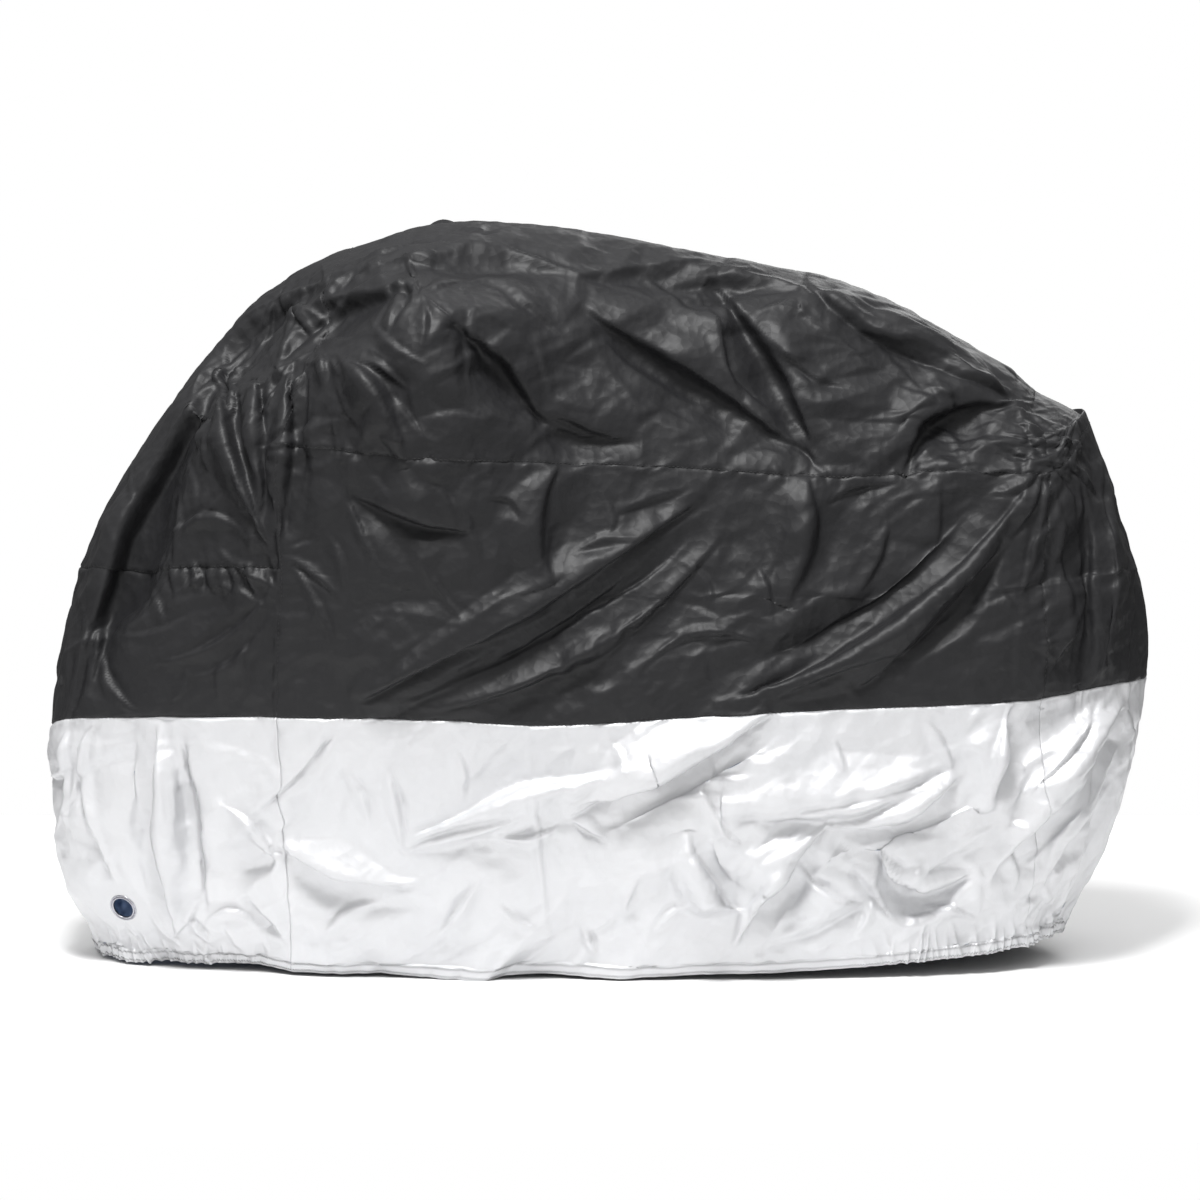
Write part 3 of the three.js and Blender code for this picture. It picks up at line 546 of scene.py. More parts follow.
    ((1906, 432), (1918, 418), (1938, 406), 8, 5, 0.6),
    ((1730, 516), (1766, 468), (1794, 410), 11, 6, 0.7),
    ((1386, 334), (1598, 346), (1794, 410), 13, 8, 0.8),
    ((1440, 524), (1286, 426), (1160, 366), 15, -10, 0.8),
    ((1386, 108), (1446, 210), (1530, 296), 12, 9, -0.8),
    ((1530, 296), (1658, 334), (1804, 404), 12, 9, 0.8),
    ((1488, 244), (1546, 168), (1644, 140), 12, 8, 0.8),
    # short ones on the skirt
    ((1558, 480), (1570, 446), (1584, 404), 9, 5, 0.7),
    ((826, 468), (846, 418), (838, 366), 10, 6, 0.7),
    ((1114, 488), (1146, 452), (1154, 406), 9, 5, 0.7),
    ((606, 426), (650, 366), (662, 306), 11, 6, 0.7),
    ((1726, 144), (1786, 136), (1850, 104), 10, 7, 0.7),
    ((1906, 266), (1922, 214), (1914, 152), 10, 7, 0.7),
    ((1598, 84), (1626, 120), (1638, 164), 9, 6, 0.7),
    ((906, 164), (946, 120), (1010, 104), 10, 5, 0.7),
]
BELT_LEAVES = 8  # short leaves that pucker the belt seam next to the front seam
LEAF_START, LEAF_EVERY = 262.0, 28.0
LEAF_TOP, LEAF_MIDDLE, LEAF_FOOT = 826.0, 786.0, 744.0  # heights
LEAF_WIDE, LEAF_HIGH = 10.0, 11.0
FAR_SHIFT = (46.0, -34.0)
CRISP, ROUND_OFF = 1.05, 0.5  # the main folds lose some of their roundness and get flat flanks instead
SOFT_ONES = ("tail_hollow", "tail_pleat", "front_skirt_1", "front_skirt_2")  # these stay round
LIMIT = 34.0  # where folds cross, their heights don't simply add up


def belt_leaf(k):
    x = LEAF_START + LEAF_EVERY * k
    places = (x - 6, LEAF_TOP - 4 * (k % 3)), (x + 4, LEAF_MIDDLE), (x + 16, LEAF_FOOT + 6 * (k % 2))
    return (*places, LEAF_WIDE, LEAF_HIGH - 3 * (k % 2), 0.8 if k % 3 else -0.8)


def moved(fold, shift):
    *places, wide, high, lee = fold
    places = [(x + shift[0], z + shift[1]) for x, z in places]
    return (*places, wide, high, lee)


def sharp_ones(folds):
    return [fold for name, fold in folds.items() if name not in SOFT_ONES]


FINE_FOLDS += [belt_leaf(k) for k in range(BELT_LEAVES)]
FAR_FINE_FOLDS = [moved(fold, FAR_SHIFT) for fold in FINE_FOLDS]
out = normals_of(folded)
detail = lay_folds(folded, (FINE_FOLDS, FAR_FINE_FOLDS), flat_fold)
main_detail = lay_folds(folded, (sharp_ones(NEAR_FOLDS), sharp_ones(FAR_FOLDS)), flat_fold)
detail += CRISP * main_detail - ROUND_OFF * main_lift
detail = LIMIT * np.tanh(detail / LIMIT)
print("smaller folds:", len(FINE_FOLDS), "a side")

# %% [markdown]
# ## Crumple
# Coated taffeta keeps the memory of its packing. Between the folds it breaks into flat facets, each of
# which catches the light as a whole. Random points joined by triangles, each point a little high or low,
# give exactly that. A few sizes of facet are laid over each other, and a soft mask makes some places
# smoother than others.

# %% Facets
CELL = 5.0
FACETS = ((170.0, 11.0), (80.0, 5.6), (36.0, 1.9))  # spacing and height, in millimetres
STRETCH = 1.6  # facets are this much longer along the drag lines than across
DRAG = math.radians(34)  # the way most drag lines rise towards the tail
JITTER = 0.42  # how far a corner strays from its regular place, as a share of the spacing
PATCH = 260.0  # size of the smoother and rougher patches
PATCH_LOW, PATCH_HIGH = 0.1, 1.1
RIDGE_CALM, END_CALM = 60.0, 190.0  # the cloth is tighter this near to the ridge, and to the nose and tail
END_SHARE = 0.2
RAY_FROM = 1000.0  # above any facet
dice = np.random.default_rng(41)


def facet_heights(spacing, height):
    """Heights on the grid of a crumpled sheet with facets about as wide as the spacing."""
    along = np.arange(LAST_I + 1)[:, None] * CELL
    up = np.minimum(np.arange(LAST_J + 1), LAST_J - np.arange(LAST_J + 1))[None, :] * CELL
    other_side = (np.arange(LAST_J + 1) > LAST_J / 2)[None, :] * 20 * spacing
    x = ((along + other_side) * math.cos(DRAG) + up * math.sin(DRAG)) / STRETCH
    y = (up * math.cos(DRAG) - (along + other_side) * math.sin(DRAG)) * STRETCH ** 0.5
    low = np.array([x.min(), y.min()]) - 2 * spacing
    counts = [int((values.max() - least) / spacing) + 4 for values, least in ((x, low[0]), (y, low[1]))]
    lattice = np.stack(np.meshgrid(*(np.arange(n) for n in counts), indexing="ij"), axis=-1).reshape(-1, 2)
    spots = low + (lattice + dice.uniform(-JITTER, JITTER, lattice.shape)) * spacing
    _, _, faces, *_ = delaunay_2d_cdt([Vector(p) for p in spots], [], [], 0, 1e-6)
    peaks = dice.normal(0, height, len(spots))
    tree = BVHTree.FromPolygons([(*p, h) for p, h in zip(spots, peaks)], faces)
    down = Vector((0, 0, -1))
    heights = [tree.ray_cast(Vector((*at, RAY_FROM)), down)[0] for at in zip(x.flat, y.flat)]
    return np.array([hit.z if hit else 0.0 for hit in heights]).reshape(skin_shape)


def soft_mask(spacing, low, high):
    """A smooth random field between low and high."""
    counts = [int(last * CELL / spacing) + 4 for last in (LAST_I, LAST_J)]
    knots = dice.uniform(0, 1, counts)
    weights = []
    for last, count in zip((LAST_I, LAST_J), counts):
        at = np.arange(last + 1) * CELL / spacing
        weights.append(spline_weights(at, count - 3))
    field = np.clip(weights[0] @ knots @ weights[1].T, 0, 1)
    return low + (high - low) * field


skin_shape = shell.shape[:2]
crumple = sum(facet_heights(*size) for size in FACETS) * soft_mask(PATCH, PATCH_LOW, PATCH_HIGH)
ridge_gap = np.abs(np.arange(LAST_J + 1) - LAST_J / 2) * CELL
from_nose = run_along(folded, 0)
end_gap = np.minimum(from_nose, from_nose[-1:] - from_nose)
crumple *= ease(ridge_gap / RIDGE_CALM)[None, :] * (END_SHARE + (1 - END_SHARE) * ease(end_gap / END_CALM))
print("crumple:", round(float(crumple.min()), 1), "to", round(float(crumple.max()), 1), "mm")

# %% [markdown]
# ## Small creases
# Hundreds of short creases lie between the drawn folds, mostly along the way that the nearest fold runs,
# since the same pull made them. Each is stamped on a small window of the grid. It is pointed, steeper on
# one side and slightly bent. They are thickest where the cloth is gathered or tugged.

# %% Where the creases run
CREASES = 1100
CREASE_LONG, CREASE_WIDE, CREASE_HIGH = (50, 220), (8, 18), (1.2, 4.6)  # least and most
CREASE_TURN = 0.6  # how far a crease strays from the way of its fold, in radians
TUGS = (  # distance from the front, height, reach, and how much stronger the creases are there
    (570, 1230, 190, 1.6),
    (780, 1320, 170, 1.6),
    (380, 820, 140, 1.0),
    (1980, 985, 220, 1.3),
    (300, 80, 240, 0.9),
    (1900, 120, 260, 1.0),
    (430, 1150, 200, 0.8),
)
UNTUGGED = 0.55  # the height of creases away from every tug, as a share
EYELET_AT = (1.16, 0.6)  # section and level


def fold_directions(folds):
    """The middles of all crest segments and the ways they run."""
    crests = [crest_line(*fold[:3]) for fold in folds]
    steps = np.concatenate([np.diff(crest, axis=0) for crest in crests])
    middles = np.concatenate([(crest[1:] + crest[:-1]) / 2 for crest in crests])
    return middles, steps / np.linalg.norm(steps, axis=1, keepdims=True)


def unit(vector):
    return vector / max(float(np.linalg.norm(vector)), 1e-9)


def stamp(height, at, heading, length, width, high, bend=0.0, lean=0.4):
    """Adds one small crease round the grid point at. heading is a direction in space along the cloth."""
    i, j = at
    reach = int((length / 2 + 2 * width) / CELL) + 2
    window = (slice(max(i - reach, 0), i + reach + 1), slice(max(j - reach, 0), j + reach + 1))
    normal = out[i, j]
    ahead_way = unit(heading - normal * (heading @ normal))
    away = folded[window] - folded[i, j]
    ahead = away @ ahead_way / (length / 2)
    across = away @ np.cross(normal, ahead_way) / width + bend * ahead**2
    height[window] += high * flat_fold(np.clip(ahead / 2 + 0.5, 0, 1), across, lean)


def eyelet_frame(side):
    """The eyelet's centre and the way it faces, on the smooth shell, as the solids have it."""
    u, v = EYELET_AT
    step = 0.02
    us, vs = [u - step, u, u + step], [v - step, v, v + step]
    points = shell_points(us, vs) * (1, side, 1)
    facing = unit(np.cross(points[2, 1] - points[0, 1], points[1, 2] - points[1, 0]))
    return points[1, 1], facing if facing[1] * side > 0 else -facing


EYELETS = {"near": eyelet_frame(-1), "far": eyelet_frame(1)}

# %% Stamp the creases
small = np.zeros(skin_shape)
directions = {
    "near": fold_directions([*NEAR_FOLDS.values(), *FINE_FOLDS]),
    "far": fold_directions([*FAR_FOLDS.values(), *FAR_FINE_FOLDS]),
}
for _ in range(CREASES):
    at = (int(dice.integers(2, LAST_I - 1)), int(dice.integers(2, LAST_J - 1)))
    spot = folded[at]
    middles, ways = directions["near" if spot[1] < 0 else "far"]
    nearest = np.argmin(((middles - spot[[0, 2]]) ** 2).sum(axis=1))
    turn = dice.normal(0, CREASE_TURN)
    along, rise = ways[nearest]
    heading = np.array([
        along * math.cos(turn) - rise * math.sin(turn),
        0.15 * dice.normal(),
        along * math.sin(turn) + rise * math.cos(turn),
    ])
    tug = sum(
        more * math.exp(-((spot[0] - x) ** 2 + (spot[2] - z) ** 2) / reach**2) for x, z, reach, more in TUGS
    )
    length = dice.uniform(*CREASE_LONG)
    width = dice.uniform(*CREASE_WIDE)
    high = dice.uniform(*CREASE_HIGH) * (UNTUGGED + tug)
    stamp(small, at, heading, length, width, high, bend=dice.normal(0, 0.7), lean=dice.choice((-0.5, 0.5)))
print("small creases:", CREASES)

# %% [markdown]
# ## Seams, puckers and the elastic hem
# A seam draws the cloth in: a thin valley with short puckers standing off it on both sides. The belt seam
# puckers most, as its thread is tighter than the cloth. The hem is a turned-up casing with elastic in it at
# both ends, which gathers the cloth into tight ruffles there, while the sides of the hem stay flat.

# %% Seams
ROW_SINK = 2.2
COLUMN_SINK = 0.9
SEAM_WIDE = 3.6
PUCKER_LONG, PUCKER_WIDE, PUCKER_HIGH = (30, 80), (7, 10), (1.2, 3.4)  # least and most
PUCKER_TURN = 4.0  # millimetres that its way strays over two cells of the grid
PUCKER_STRONG = (0.2, 1.3)
ROW_GAPS, COLUMN_GAPS = (2, 5), (2, 6)  # cells from one pucker to the next
across_levels = run_along(folded, 1)
across_sections = run_along(folded, 0)
seams = np.zeros(skin_shape)


def mirrored_row(j):
    return LAST_J - j


def sink_seam(distance, where, sink):
    seams[where] -= sink * np.exp(-((distance / SEAM_WIDE) ** 2))


def pucker(at, heading, strong):
    """Two short creases across a seam, one on each side of it."""
    high = dice.uniform(*PUCKER_HIGH) * strong * dice.choice((-1, 1, 1))
    length, width = dice.uniform(*PUCKER_LONG), dice.uniform(*PUCKER_WIDE)
    stamp(seams, at, heading, length, width, high, lean=dice.choice((-0.4, 0.4)))


def row_seam(j, i_from, i_to, strong):
    """A seam along the cover, between two columns of the grid."""
    where = (slice(i_from, i_to + 1), slice(None))
    sink_seam(across_levels[where] - across_levels[i_from:i_to + 1, j:j + 1], where, ROW_SINK)
    i = i_from + 1
    while i < i_to - 1:
        heading = folded[i, min(j + 1, LAST_J)] - folded[i, j - 1] + dice.normal(0, PUCKER_TURN, 3)
        pucker((i, j), heading, strong * dice.uniform(*PUCKER_STRONG))
        i += int(dice.integers(*ROW_GAPS))


def column_seam(i, j_from, j_to, strong):
    """A seam up the cover, between two rows of the grid."""
    where = (slice(None), slice(j_from, j_to + 1))
    sink_seam(across_sections[where] - across_sections[i:i + 1, j_from:j_to + 1], where, COLUMN_SINK)
    j = j_from + 1
    while j < j_to - 1:
        heading = folded[i + 1, j] - folded[i - 1, j] + dice.normal(0, PUCKER_TURN, 3)
        pucker((i, j), heading, strong * dice.uniform(*PUCKER_STRONG))
        j += int(dice.integers(*COLUMN_GAPS))


FRONT_I, REAR_I = COLUMN[FRONT_SEAM], COLUMN[REAR_SEAM]
for level, i_from, i_to, strong in (
    (SEAM, 0, LAST_I, 0.35),
    (BELT, 0, FRONT_I, 1.8),
    (WAIST, FRONT_I, LAST_I, 1.1),
):
    for j in (ROW[level], mirrored_row(ROW[level])):
        row_seam(j, i_from, i_to, strong)
for j_from, j_to in ((0, ROW[WAIST]), (mirrored_row(ROW[WAIST]), LAST_J)):
    column_seam(REAR_I, j_from, j_to, 0.7)
column_seam(FRONT_I, 0, LAST_J, 0.45)

# %% Add it all up
TIGHT_SPOTS = (  # the cloth is sewn too tight to crease here: place, and where the calm ends
    ((2060.0, 0.0, 1090.0), 190.0),
    ((600.0, 0.0, 1395.0), 170.0),
)
SKIRT_MORE = 0.55  # the silver coating is stiffer, so the skirts crease this much deeper
SKIRT_FADE = 60.0  # over this distance from the seam between black and silver
CENTRE_SHARE, CENTRE_REACH = 0.45, 90.0  # the cloth is tighter along the centre line too


def calm_places():
    """How freely the cloth may crease at each grid point, from 0 to 1."""
    free = CENTRE_SHARE + (1 - CENTRE_SHARE) * ease(np.abs(folded[:, :, 1]) / CENTRE_REACH)
    for place, reach in TIGHT_SPOTS:
        free *= ease((np.linalg.norm(folded - place, axis=2) - reach / 3) / (reach * 2 / 3))
    return free


def deeper_in_skirts():
    """1 on the black cloth, and more on the skirts."""
    more = np.ones(skin_shape)
    far_seam = mirrored_row(ROW[SEAM])
    for rows, j in ((slice(0, ROW[SEAM]), ROW[SEAM]), (slice(far_seam + 1, None), far_seam)):
        below = np.abs(across_levels[:, rows] - across_levels[:, j:j + 1])
        more[:, rows] += SKIRT_MORE * ease(below / SKIRT_FADE)
    return more


def lifted(grid, heights):
    """The grid moved out along its normals, with the same height on both sides of a closed end."""
    heights = heights.copy()
    for end in (0, LAST_I):
        heights[end] = (heights[end] + heights[end, ::-1]) / 2
    return grid + normals_of(grid) * heights[:, :, None]


calm = calm_places()
skin = lifted(folded, (detail + crumple) * calm * deeper_in_skirts())
print("heights:", round(float(detail.min()), 1), "to", round(float(detail.max()), 1), "mm")

# %% [markdown]
# ## Let the cloth buckle
# Heights alone leave a surface that looks embossed. So Blender's cloth solver takes over for a third of a
# second. Each edge is told to be a few percent longer, and as the cloth has no room to grow sideways, it
# buckles: drawn folds get deeper and rounder on one side, and the space between them fills with the creases
# that real cloth would have. A weak pull back to the drawn shape keeps every fold in its place, and a
# strong one holds the seams and the hem. There is no gravity, because the drawn shape hangs already. The
# solver works on every other grid line, a quarter of the points, and its moves are spread over all the
# lines afterwards.

# %% Cloth simulation
GROW = 0.03  # how much longer each edge wants to be, as a share
HOLD, SEAM_HOLD = 0.08, 0.6  # how firmly the open cloth and the seams are held
FRAMES = 8
RIPPLE_PASSES = 1
IRON_PASSES, IRON_REACH = 4, 4  # times, and cells to each side of the front seam
TIGHT_SEAM = 0.3  # share of its depth that a seam keeps where the cloth is tight
RIDGE_J = ROW[RIDGE]
SEAM_ROWS = [j for level in (SEAM, BELT, WAIST) for j in (ROW[level], mirrored_row(ROW[level]))]
KEPT_I = sorted({*range(0, LAST_I, 2), FRONT_I, REAR_I, LAST_I})
KEPT_J = sorted({*range(0, LAST_J, 2), *SEAM_ROWS, RIDGE_J, LAST_J})


def simulation_mesh(coarse):
    """Every other line of the skin as one mesh in metres, closed at the nose and at the tail."""
    index = np.arange(coarse.shape[0] * coarse.shape[1]).reshape(coarse.shape[:2])
    middle = KEPT_J.index(RIDGE_J)
    for end in (0, -1):
        index[end, middle + 1:] = index[end, :middle][::-1]
    faces = np.stack([index[:-1, :-1], index[1:, :-1], index[1:, 1:], index[:-1, 1:]], axis=-1)
    mesh = bpy.data.meshes.new("drape")
    mesh.from_pydata((coarse / 1000).reshape(-1, 3).tolist(), [], faces.reshape(-1, 4).tolist())
    drape = bpy.data.objects.new("drape", mesh)
    bpy.context.scene.collection.objects.link(drape)
    return drape, index


def hold_strength():
    """How firmly each grid point is held to its drawn place."""
    strength = HOLD + (SEAM_HOLD - HOLD) * np.round(1 - calm, 1)
    for j in (ROW[SEAM], mirrored_row(ROW[SEAM]), 0, LAST_J):
        strength[:, j] = SEAM_HOLD
    for j in (ROW[BELT], mirrored_row(ROW[BELT])):
        strength[:FRONT_I, j] = SEAM_HOLD
    for j in (ROW[WAIST], mirrored_row(ROW[WAIST])):
        strength[FRONT_I:, j] = SEAM_HOLD
    strength[FRONT_I, ROW[SEAM]:mirrored_row(ROW[SEAM])] = SEAM_HOLD
    strength[REAR_I, :ROW[WAIST]] = SEAM_HOLD
    strength[REAR_I, mirrored_row(ROW[WAIST]):] = SEAM_HOLD
    return strength


def buckle(coarse):
    """Lets the skin grow for a few frames and gives how far each point moves, in millimetres."""
    drape, index = simulation_mesh(coarse)
    group = drape.vertex_groups.new(name="hold")
    strength = hold_strength()[np.ix_(KEPT_I, KEPT_J)]
    for value in np.unique(strength):
        group.add(index[strength == value].tolist(), float(value), "REPLACE")
    cloth = drape.modifiers.new("cloth", "CLOTH")
    settings = cloth.settings
    settings.quality = 4
    settings.mass = 0.1
    settings.tension_stiffness = settings.compression_stiffness = 20
    settings.shear_stiffness = 8
    settings.bending_stiffness = 0.002
    settings.tension_damping = settings.compression_damping = settings.shear_damping = 5
    settings.air_damping = 2
    settings.vertex_group_mass = group.name
    settings.shrink_min = settings.shrink_max = -GROW
    settings.effector_weights.gravity = 0
    cloth.collision_settings.use_collision = False
    cloth.point_cache.frame_end = FRAMES
    for number in range(1, FRAMES + 1):
        bpy.context.scene.frame_set(number)
    moved_mesh = drape.evaluated_get(bpy.context.evaluated_depsgraph_get()).data
    places = np.empty(len(moved_mesh.vertices) * 3, dtype=np.float32)
    moved_mesh.vertices.foreach_get("co", places)
    places = places.reshape(-1, 3)[index] * 1000.0
    bpy.data.meshes.remove(drape.data)
    bpy.context.scene.frame_set(1)
    return places - coarse


def without_ripples(move):
    """Evens out waves of two or three cells, which the solver leaves where the cloth is tight."""
    for _ in range(RIPPLE_PASSES):
        for axis in (0, 1):
            after, before = (np.roll(move, step, axis=axis) for step in (-1, 1))
            inner = [slice(None)] * 3
            inner[axis] = slice(1, -1)
            move = move.copy()
            move[tuple(inner)] = (move / 2 + after / 4 + before / 4)[tuple(inner)]
    return move


def on_full_grid(coarse):
    """Values known on the kept lines, on all lines."""
    columns, rows = np.arange(LAST_I + 1), np.arange(LAST_J + 1)
    full = np.empty((*skin_shape, 3))
    for axis in range(3):
        tall = np.array([np.interp(columns, KEPT_I, line) for line in coarse[:, :, axis].T]).T
        full[:, :, axis] = [np.interp(rows, KEPT_J, line) for line in tall]
    return full


def iron_front_seam():
    """Evens out the cloth beside the front seam of the skirts."""
    low, high = FRONT_I - IRON_REACH, FRONT_I + IRON_REACH + 1
    for _ in range(IRON_PASSES):
        for rows in (slice(0, ROW[SEAM]), slice(mirrored_row(ROW[SEAM]) + 1, None)):
            before, same, after = (skin[low + step:high + step, rows] for step in (-1, 0, 1))
            skin[low:high, rows] = before / 4 + same / 2 + after / 4


move = on_full_grid(without_ripples(buckle(skin[np.ix_(KEPT_I, KEPT_J)])))
skin = skin + move
print("buckled by", round(float(np.linalg.norm(move, axis=2).mean()), 1), "mm on average")
iron_front_seam()
skin = lifted(skin, small * calm + seams * (TIGHT_SEAM + (1 - TIGHT_SEAM) * calm))

# %% The casing and the cloth round the eyelets
BAND_PROUD = 1.2
EYELET_FLAT = 42.0
EYELET_FADE = 85.0


def hem_distance(grid):
    """How far up the cloth each grid point is from its own side's hem."""
    up = run_along(grid, 1)
    return np.minimum(up, up[:, -1:] - up)


hem_up = hem_distance(folded)
skin = lifted(skin, np.where(hem_up < HEM_BAND, BAND_PROUD, 0.0))
for centre, facing in EYELETS.values():
    away = skin - centre
    hold = 1 - ease((np.linalg.norm(away, axis=2) - EYELET_FLAT) / (EYELET_FADE - EYELET_FLAT))
    skin -= facing * (hold * (away @ facing))[:, :, None]
out = normals_of(skin)
print("skin:", [int(v) for v in skin.min(axis=(0, 1))], "to", [int(v) for v in skin.max(axis=(0, 1))], "mm")

# %% [markdown]
# ## From the cut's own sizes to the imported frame
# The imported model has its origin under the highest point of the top, in metres. We know where an eyelet
# lies in the cut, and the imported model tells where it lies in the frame, so the difference is the shift.
# Nothing has to be copied by hand, and the skin lands on its solids.

# %% Into the frame
CLOTH = 2.0  # thickness of the solid sheets, whose middle the eyelet's ring is centred on
eyelet_low, eyelet_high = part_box("near_eyelet")
centre, facing = EYELETS["near"]
ring_middle = centre - facing * CLOTH / 2
SHIFT = np.array((eyelet_low + eyelet_high) / 2) * 1000 - ring_middle
SHIFT[1] = 0.0


def to_frame(points):
    return (np.asarray(points) + SHIFT) / 1000


print("shift:", [round(float(v), 1) for v in SHIFT], "mm")

# %% [markdown]
# ## Cutting the skin into panels
# Each panel is a rectangle of the grid, or two that meet on the centre line at the nose or the tail. A
# plain grid is laid down for each rectangle, its vertices are moved to the skin, and the two halves are
# welded where they touch. A UV map in metres of cloth goes with it, so that a weave can follow the cloth.
# The skirts also carry, for each vertex, how far along and how far up the hem it is. That is what the
# ruffles are made from.

# %% Panels
J = ROW
PANELS = {  # columns from and to, rows from and to on the near side, whether it goes over both sides
    "nose_upper_cloth": ("nose_upper_panel", 0, FRONT_I, J[BELT], J[RIDGE], "over"),
    "nose_lower_cloth": ("nose_lower_panel", 0, FRONT_I, J[SEAM], J[BELT], "both"),
    "top_cloth": ("top_panel", FRONT_I, LAST_I, J[WAIST], J[RIDGE], "over"),
    "near_side_cloth": ("near_side_panel", FRONT_I, REAR_I, J[SEAM], J[WAIST], "near"),
    "far_side_cloth": ("far_side_panel", FRONT_I, REAR_I, J[SEAM], J[WAIST], "far"),
    "tail_cloth": ("tail_panel", REAR_I, LAST_I, J[SEAM], J[WAIST], "both"),
    "front_skirt_cloth": ("front_skirt", 0, FRONT_I, J[HEM], J[SEAM], "both"),
    "near_skirt_cloth": ("near_skirt", FRONT_I, REAR_I, J[HEM], J[SEAM], "near"),
    "far_skirt_cloth": ("far_skirt", FRONT_I, REAR_I, J[HEM], J[SEAM], "far"),
    "rear_skirt_cloth": ("rear_skirt", REAR_I, LAST_I, J[HEM], J[SEAM], "both"),
}
CASING_GAP = 2.4  # between the hem's outer layer and its turned-up one
casing_rows = sum(1 for v in VS if v <= BAND_EDGE[0])
along_hem = run_along(skin, 0)
cloth_u = run_along(shell, 0)
cloth_v = run_along(shell, 1)
WELD = 0.00002


def patch_rows(j_from, j_to):
    """The rows of a patch as (row, how far inside the skin). At the hem the cloth is turned up inside."""
    rows = [(j, 0.0) for j in range(j_from, j_to + 1)]
    if j_from == 0:
        rows = [(j, CASING_GAP) for j in range(casing_rows - 1, -1, -1)] + rows
    if j_to == LAST_J:
        rows += [(LAST_J - j, CASING_GAP) for j in range(casing_rows)]
    return rows


def lay_patch(bm, layers, i_from, i_to, j_from, j_to):
    """A grid of faces moved onto the skin."""
    rows = patch_rows(j_from, j_to)
    columns = i_to - i_from
    made = bmesh.ops.create_grid(bm, x_segments=columns, y_segments=len(rows) - 1, size=1)
    for vert in made["verts"]:
        i = i_from + round((vert.co.x + 1) / 2 * columns)
        j, inside = rows[round((vert.co.y + 1) / 2 * (len(rows) - 1))]
        vert.co = to_frame(skin[i, j] - out[i, j] * inside)
        vert[layers["out"]] = Vector(out[i, j])
        vert[layers["run"]] = float(along_hem[i, 0 if j < LAST_J / 2 else LAST_J])
        vert[layers["up"]] = float(hem_up[i, j])
        vert[layers["cloth"]] = Vector((cloth_u[i, j], cloth_v[i, j], inside))


def new_layers(bm):
    vector, number = bm.verts.layers.float_vector, bm.verts.layers.float
    return {
        "out": vector.new("out"),
        "cloth": vector.new("cloth"),
        "run": number.new("run"),
        "up": number.new("up"),
    }


def lay_panel(bm, layers, i_from, i_to, j_from, j_to, sides):
    if sides == "over":
        lay_patch(bm, layers, i_from, i_to, j_from, mirrored_row(j_from))
    if sides in ("near", "both"):
        lay_patch(bm, layers, i_from, i_to, j_from, j_to)
    if sides in ("far", "both"):
        lay_patch(bm, layers, i_from, i_to, mirrored_row(j_to), mirrored_row(j_from))
    bmesh.ops.remove_doubles(bm, verts=bm.verts, dist=WELD)


# %% [markdown]
# ## Ruffles
# Where the elastic pulls, the hem is a row of narrow pleats, too fine for the skin's grid. There the lowest
# edges are cut in two first. Then every pleat is added as a narrow ridge that starts at the casing and dies
# out up the skirt, each one longer or shorter than its neighbours and leaning a little.

# %% Pleats of the elastic hem
GATHERED = ((0.0, 480.0), (1540.0, 2300.0))  # distance from the front
RUFFLE_TOP = 110.0
PLEAT_EVERY = 17.0
PLEAT_WIDE, PLEAT_HIGH = (4.2, 7.6), (8.0, 20.0)  # least and most
PLEAT_TALL = (36.0, 52.0, 80.0, 115.0)
PLEAT_LEAN = 0.22
PLEAT_POINT = 1.3  # how rounded a pleat's crest is: 1 is a sharp edge, 2 a round one
CASING_SHARE = 0.55  # the casing is doubled and sewn down, so its pleats are lower
CASING_FADE = 16.0
FRONT_PULL, FRONT_FADE = 330.0, 150.0  # where the front elastic starts to let go, and over what length
REAR_PULL, REAR_FADE = 1570.0, 130.0  # where the rear elastic starts to pull, and over what length
LEVEL = 1.5  # an edge that rises less than this and runs further along the hem is a level one
PLEAT_BASE = 5.0  # the cloth between the pleats lies this much further in
SIDES_BLEND = 0.08  # metres across the middle, over which one side's pleats pass into the other's


def gather_share(x):
    """How strongly the elastic pulls at a distance from the front, from 0 to 1."""
    front = 1 - ease((x - FRONT_PULL) / FRONT_FADE)
    rear = ease((x - REAR_PULL) / REAR_FADE)
    return np.maximum(front, rear)


def make_pleats(seed, length):
    pleat_dice = np.random.default_rng(seed)
    middles = np.cumsum(pleat_dice.uniform(0.6, 1.4, int(length / PLEAT_EVERY)) * PLEAT_EVERY)
    count = len(middles)
    return {
        "middle": middles,
        "wide": pleat_dice.uniform(*PLEAT_WIDE, count),
        "high": pleat_dice.uniform(*PLEAT_HIGH, count),
        "tall": pleat_dice.choice(PLEAT_TALL, count) * pleat_dice.uniform(0.8, 1.2, count),
        "lean": pleat_dice.normal(0, PLEAT_LEAN, count),
    }


PLEATS = {side: make_pleats(seed, float(along_hem[-1, 0]) + 50) for side, seed in (("near", 5), ("far", 6))}


def ruffle_height(pleats, run, up, x):
    """Heights of the pleats at many places along and up the hem."""
    height = np.zeros(len(run))
    for middle, wide, high, tall, lean in zip(*pleats.values()):
        across = (run - middle - lean * up) / wide
        near = np.abs(across) < 3
        fade = ease(1 - up[near] / tall) ** 0.7
        height[near] += high * fade * np.exp(-1.3 * np.abs(across[near]) ** PLEAT_POINT)
    in_casing = CASING_SHARE + (1 - CASING_SHARE) * ease((up - HEM_BAND) / CASING_FADE)
    return (height - PLEAT_BASE) * gather_share(x) * ease(1.4 - 1.4 * up / RUFFLE_TOP) * in_casing


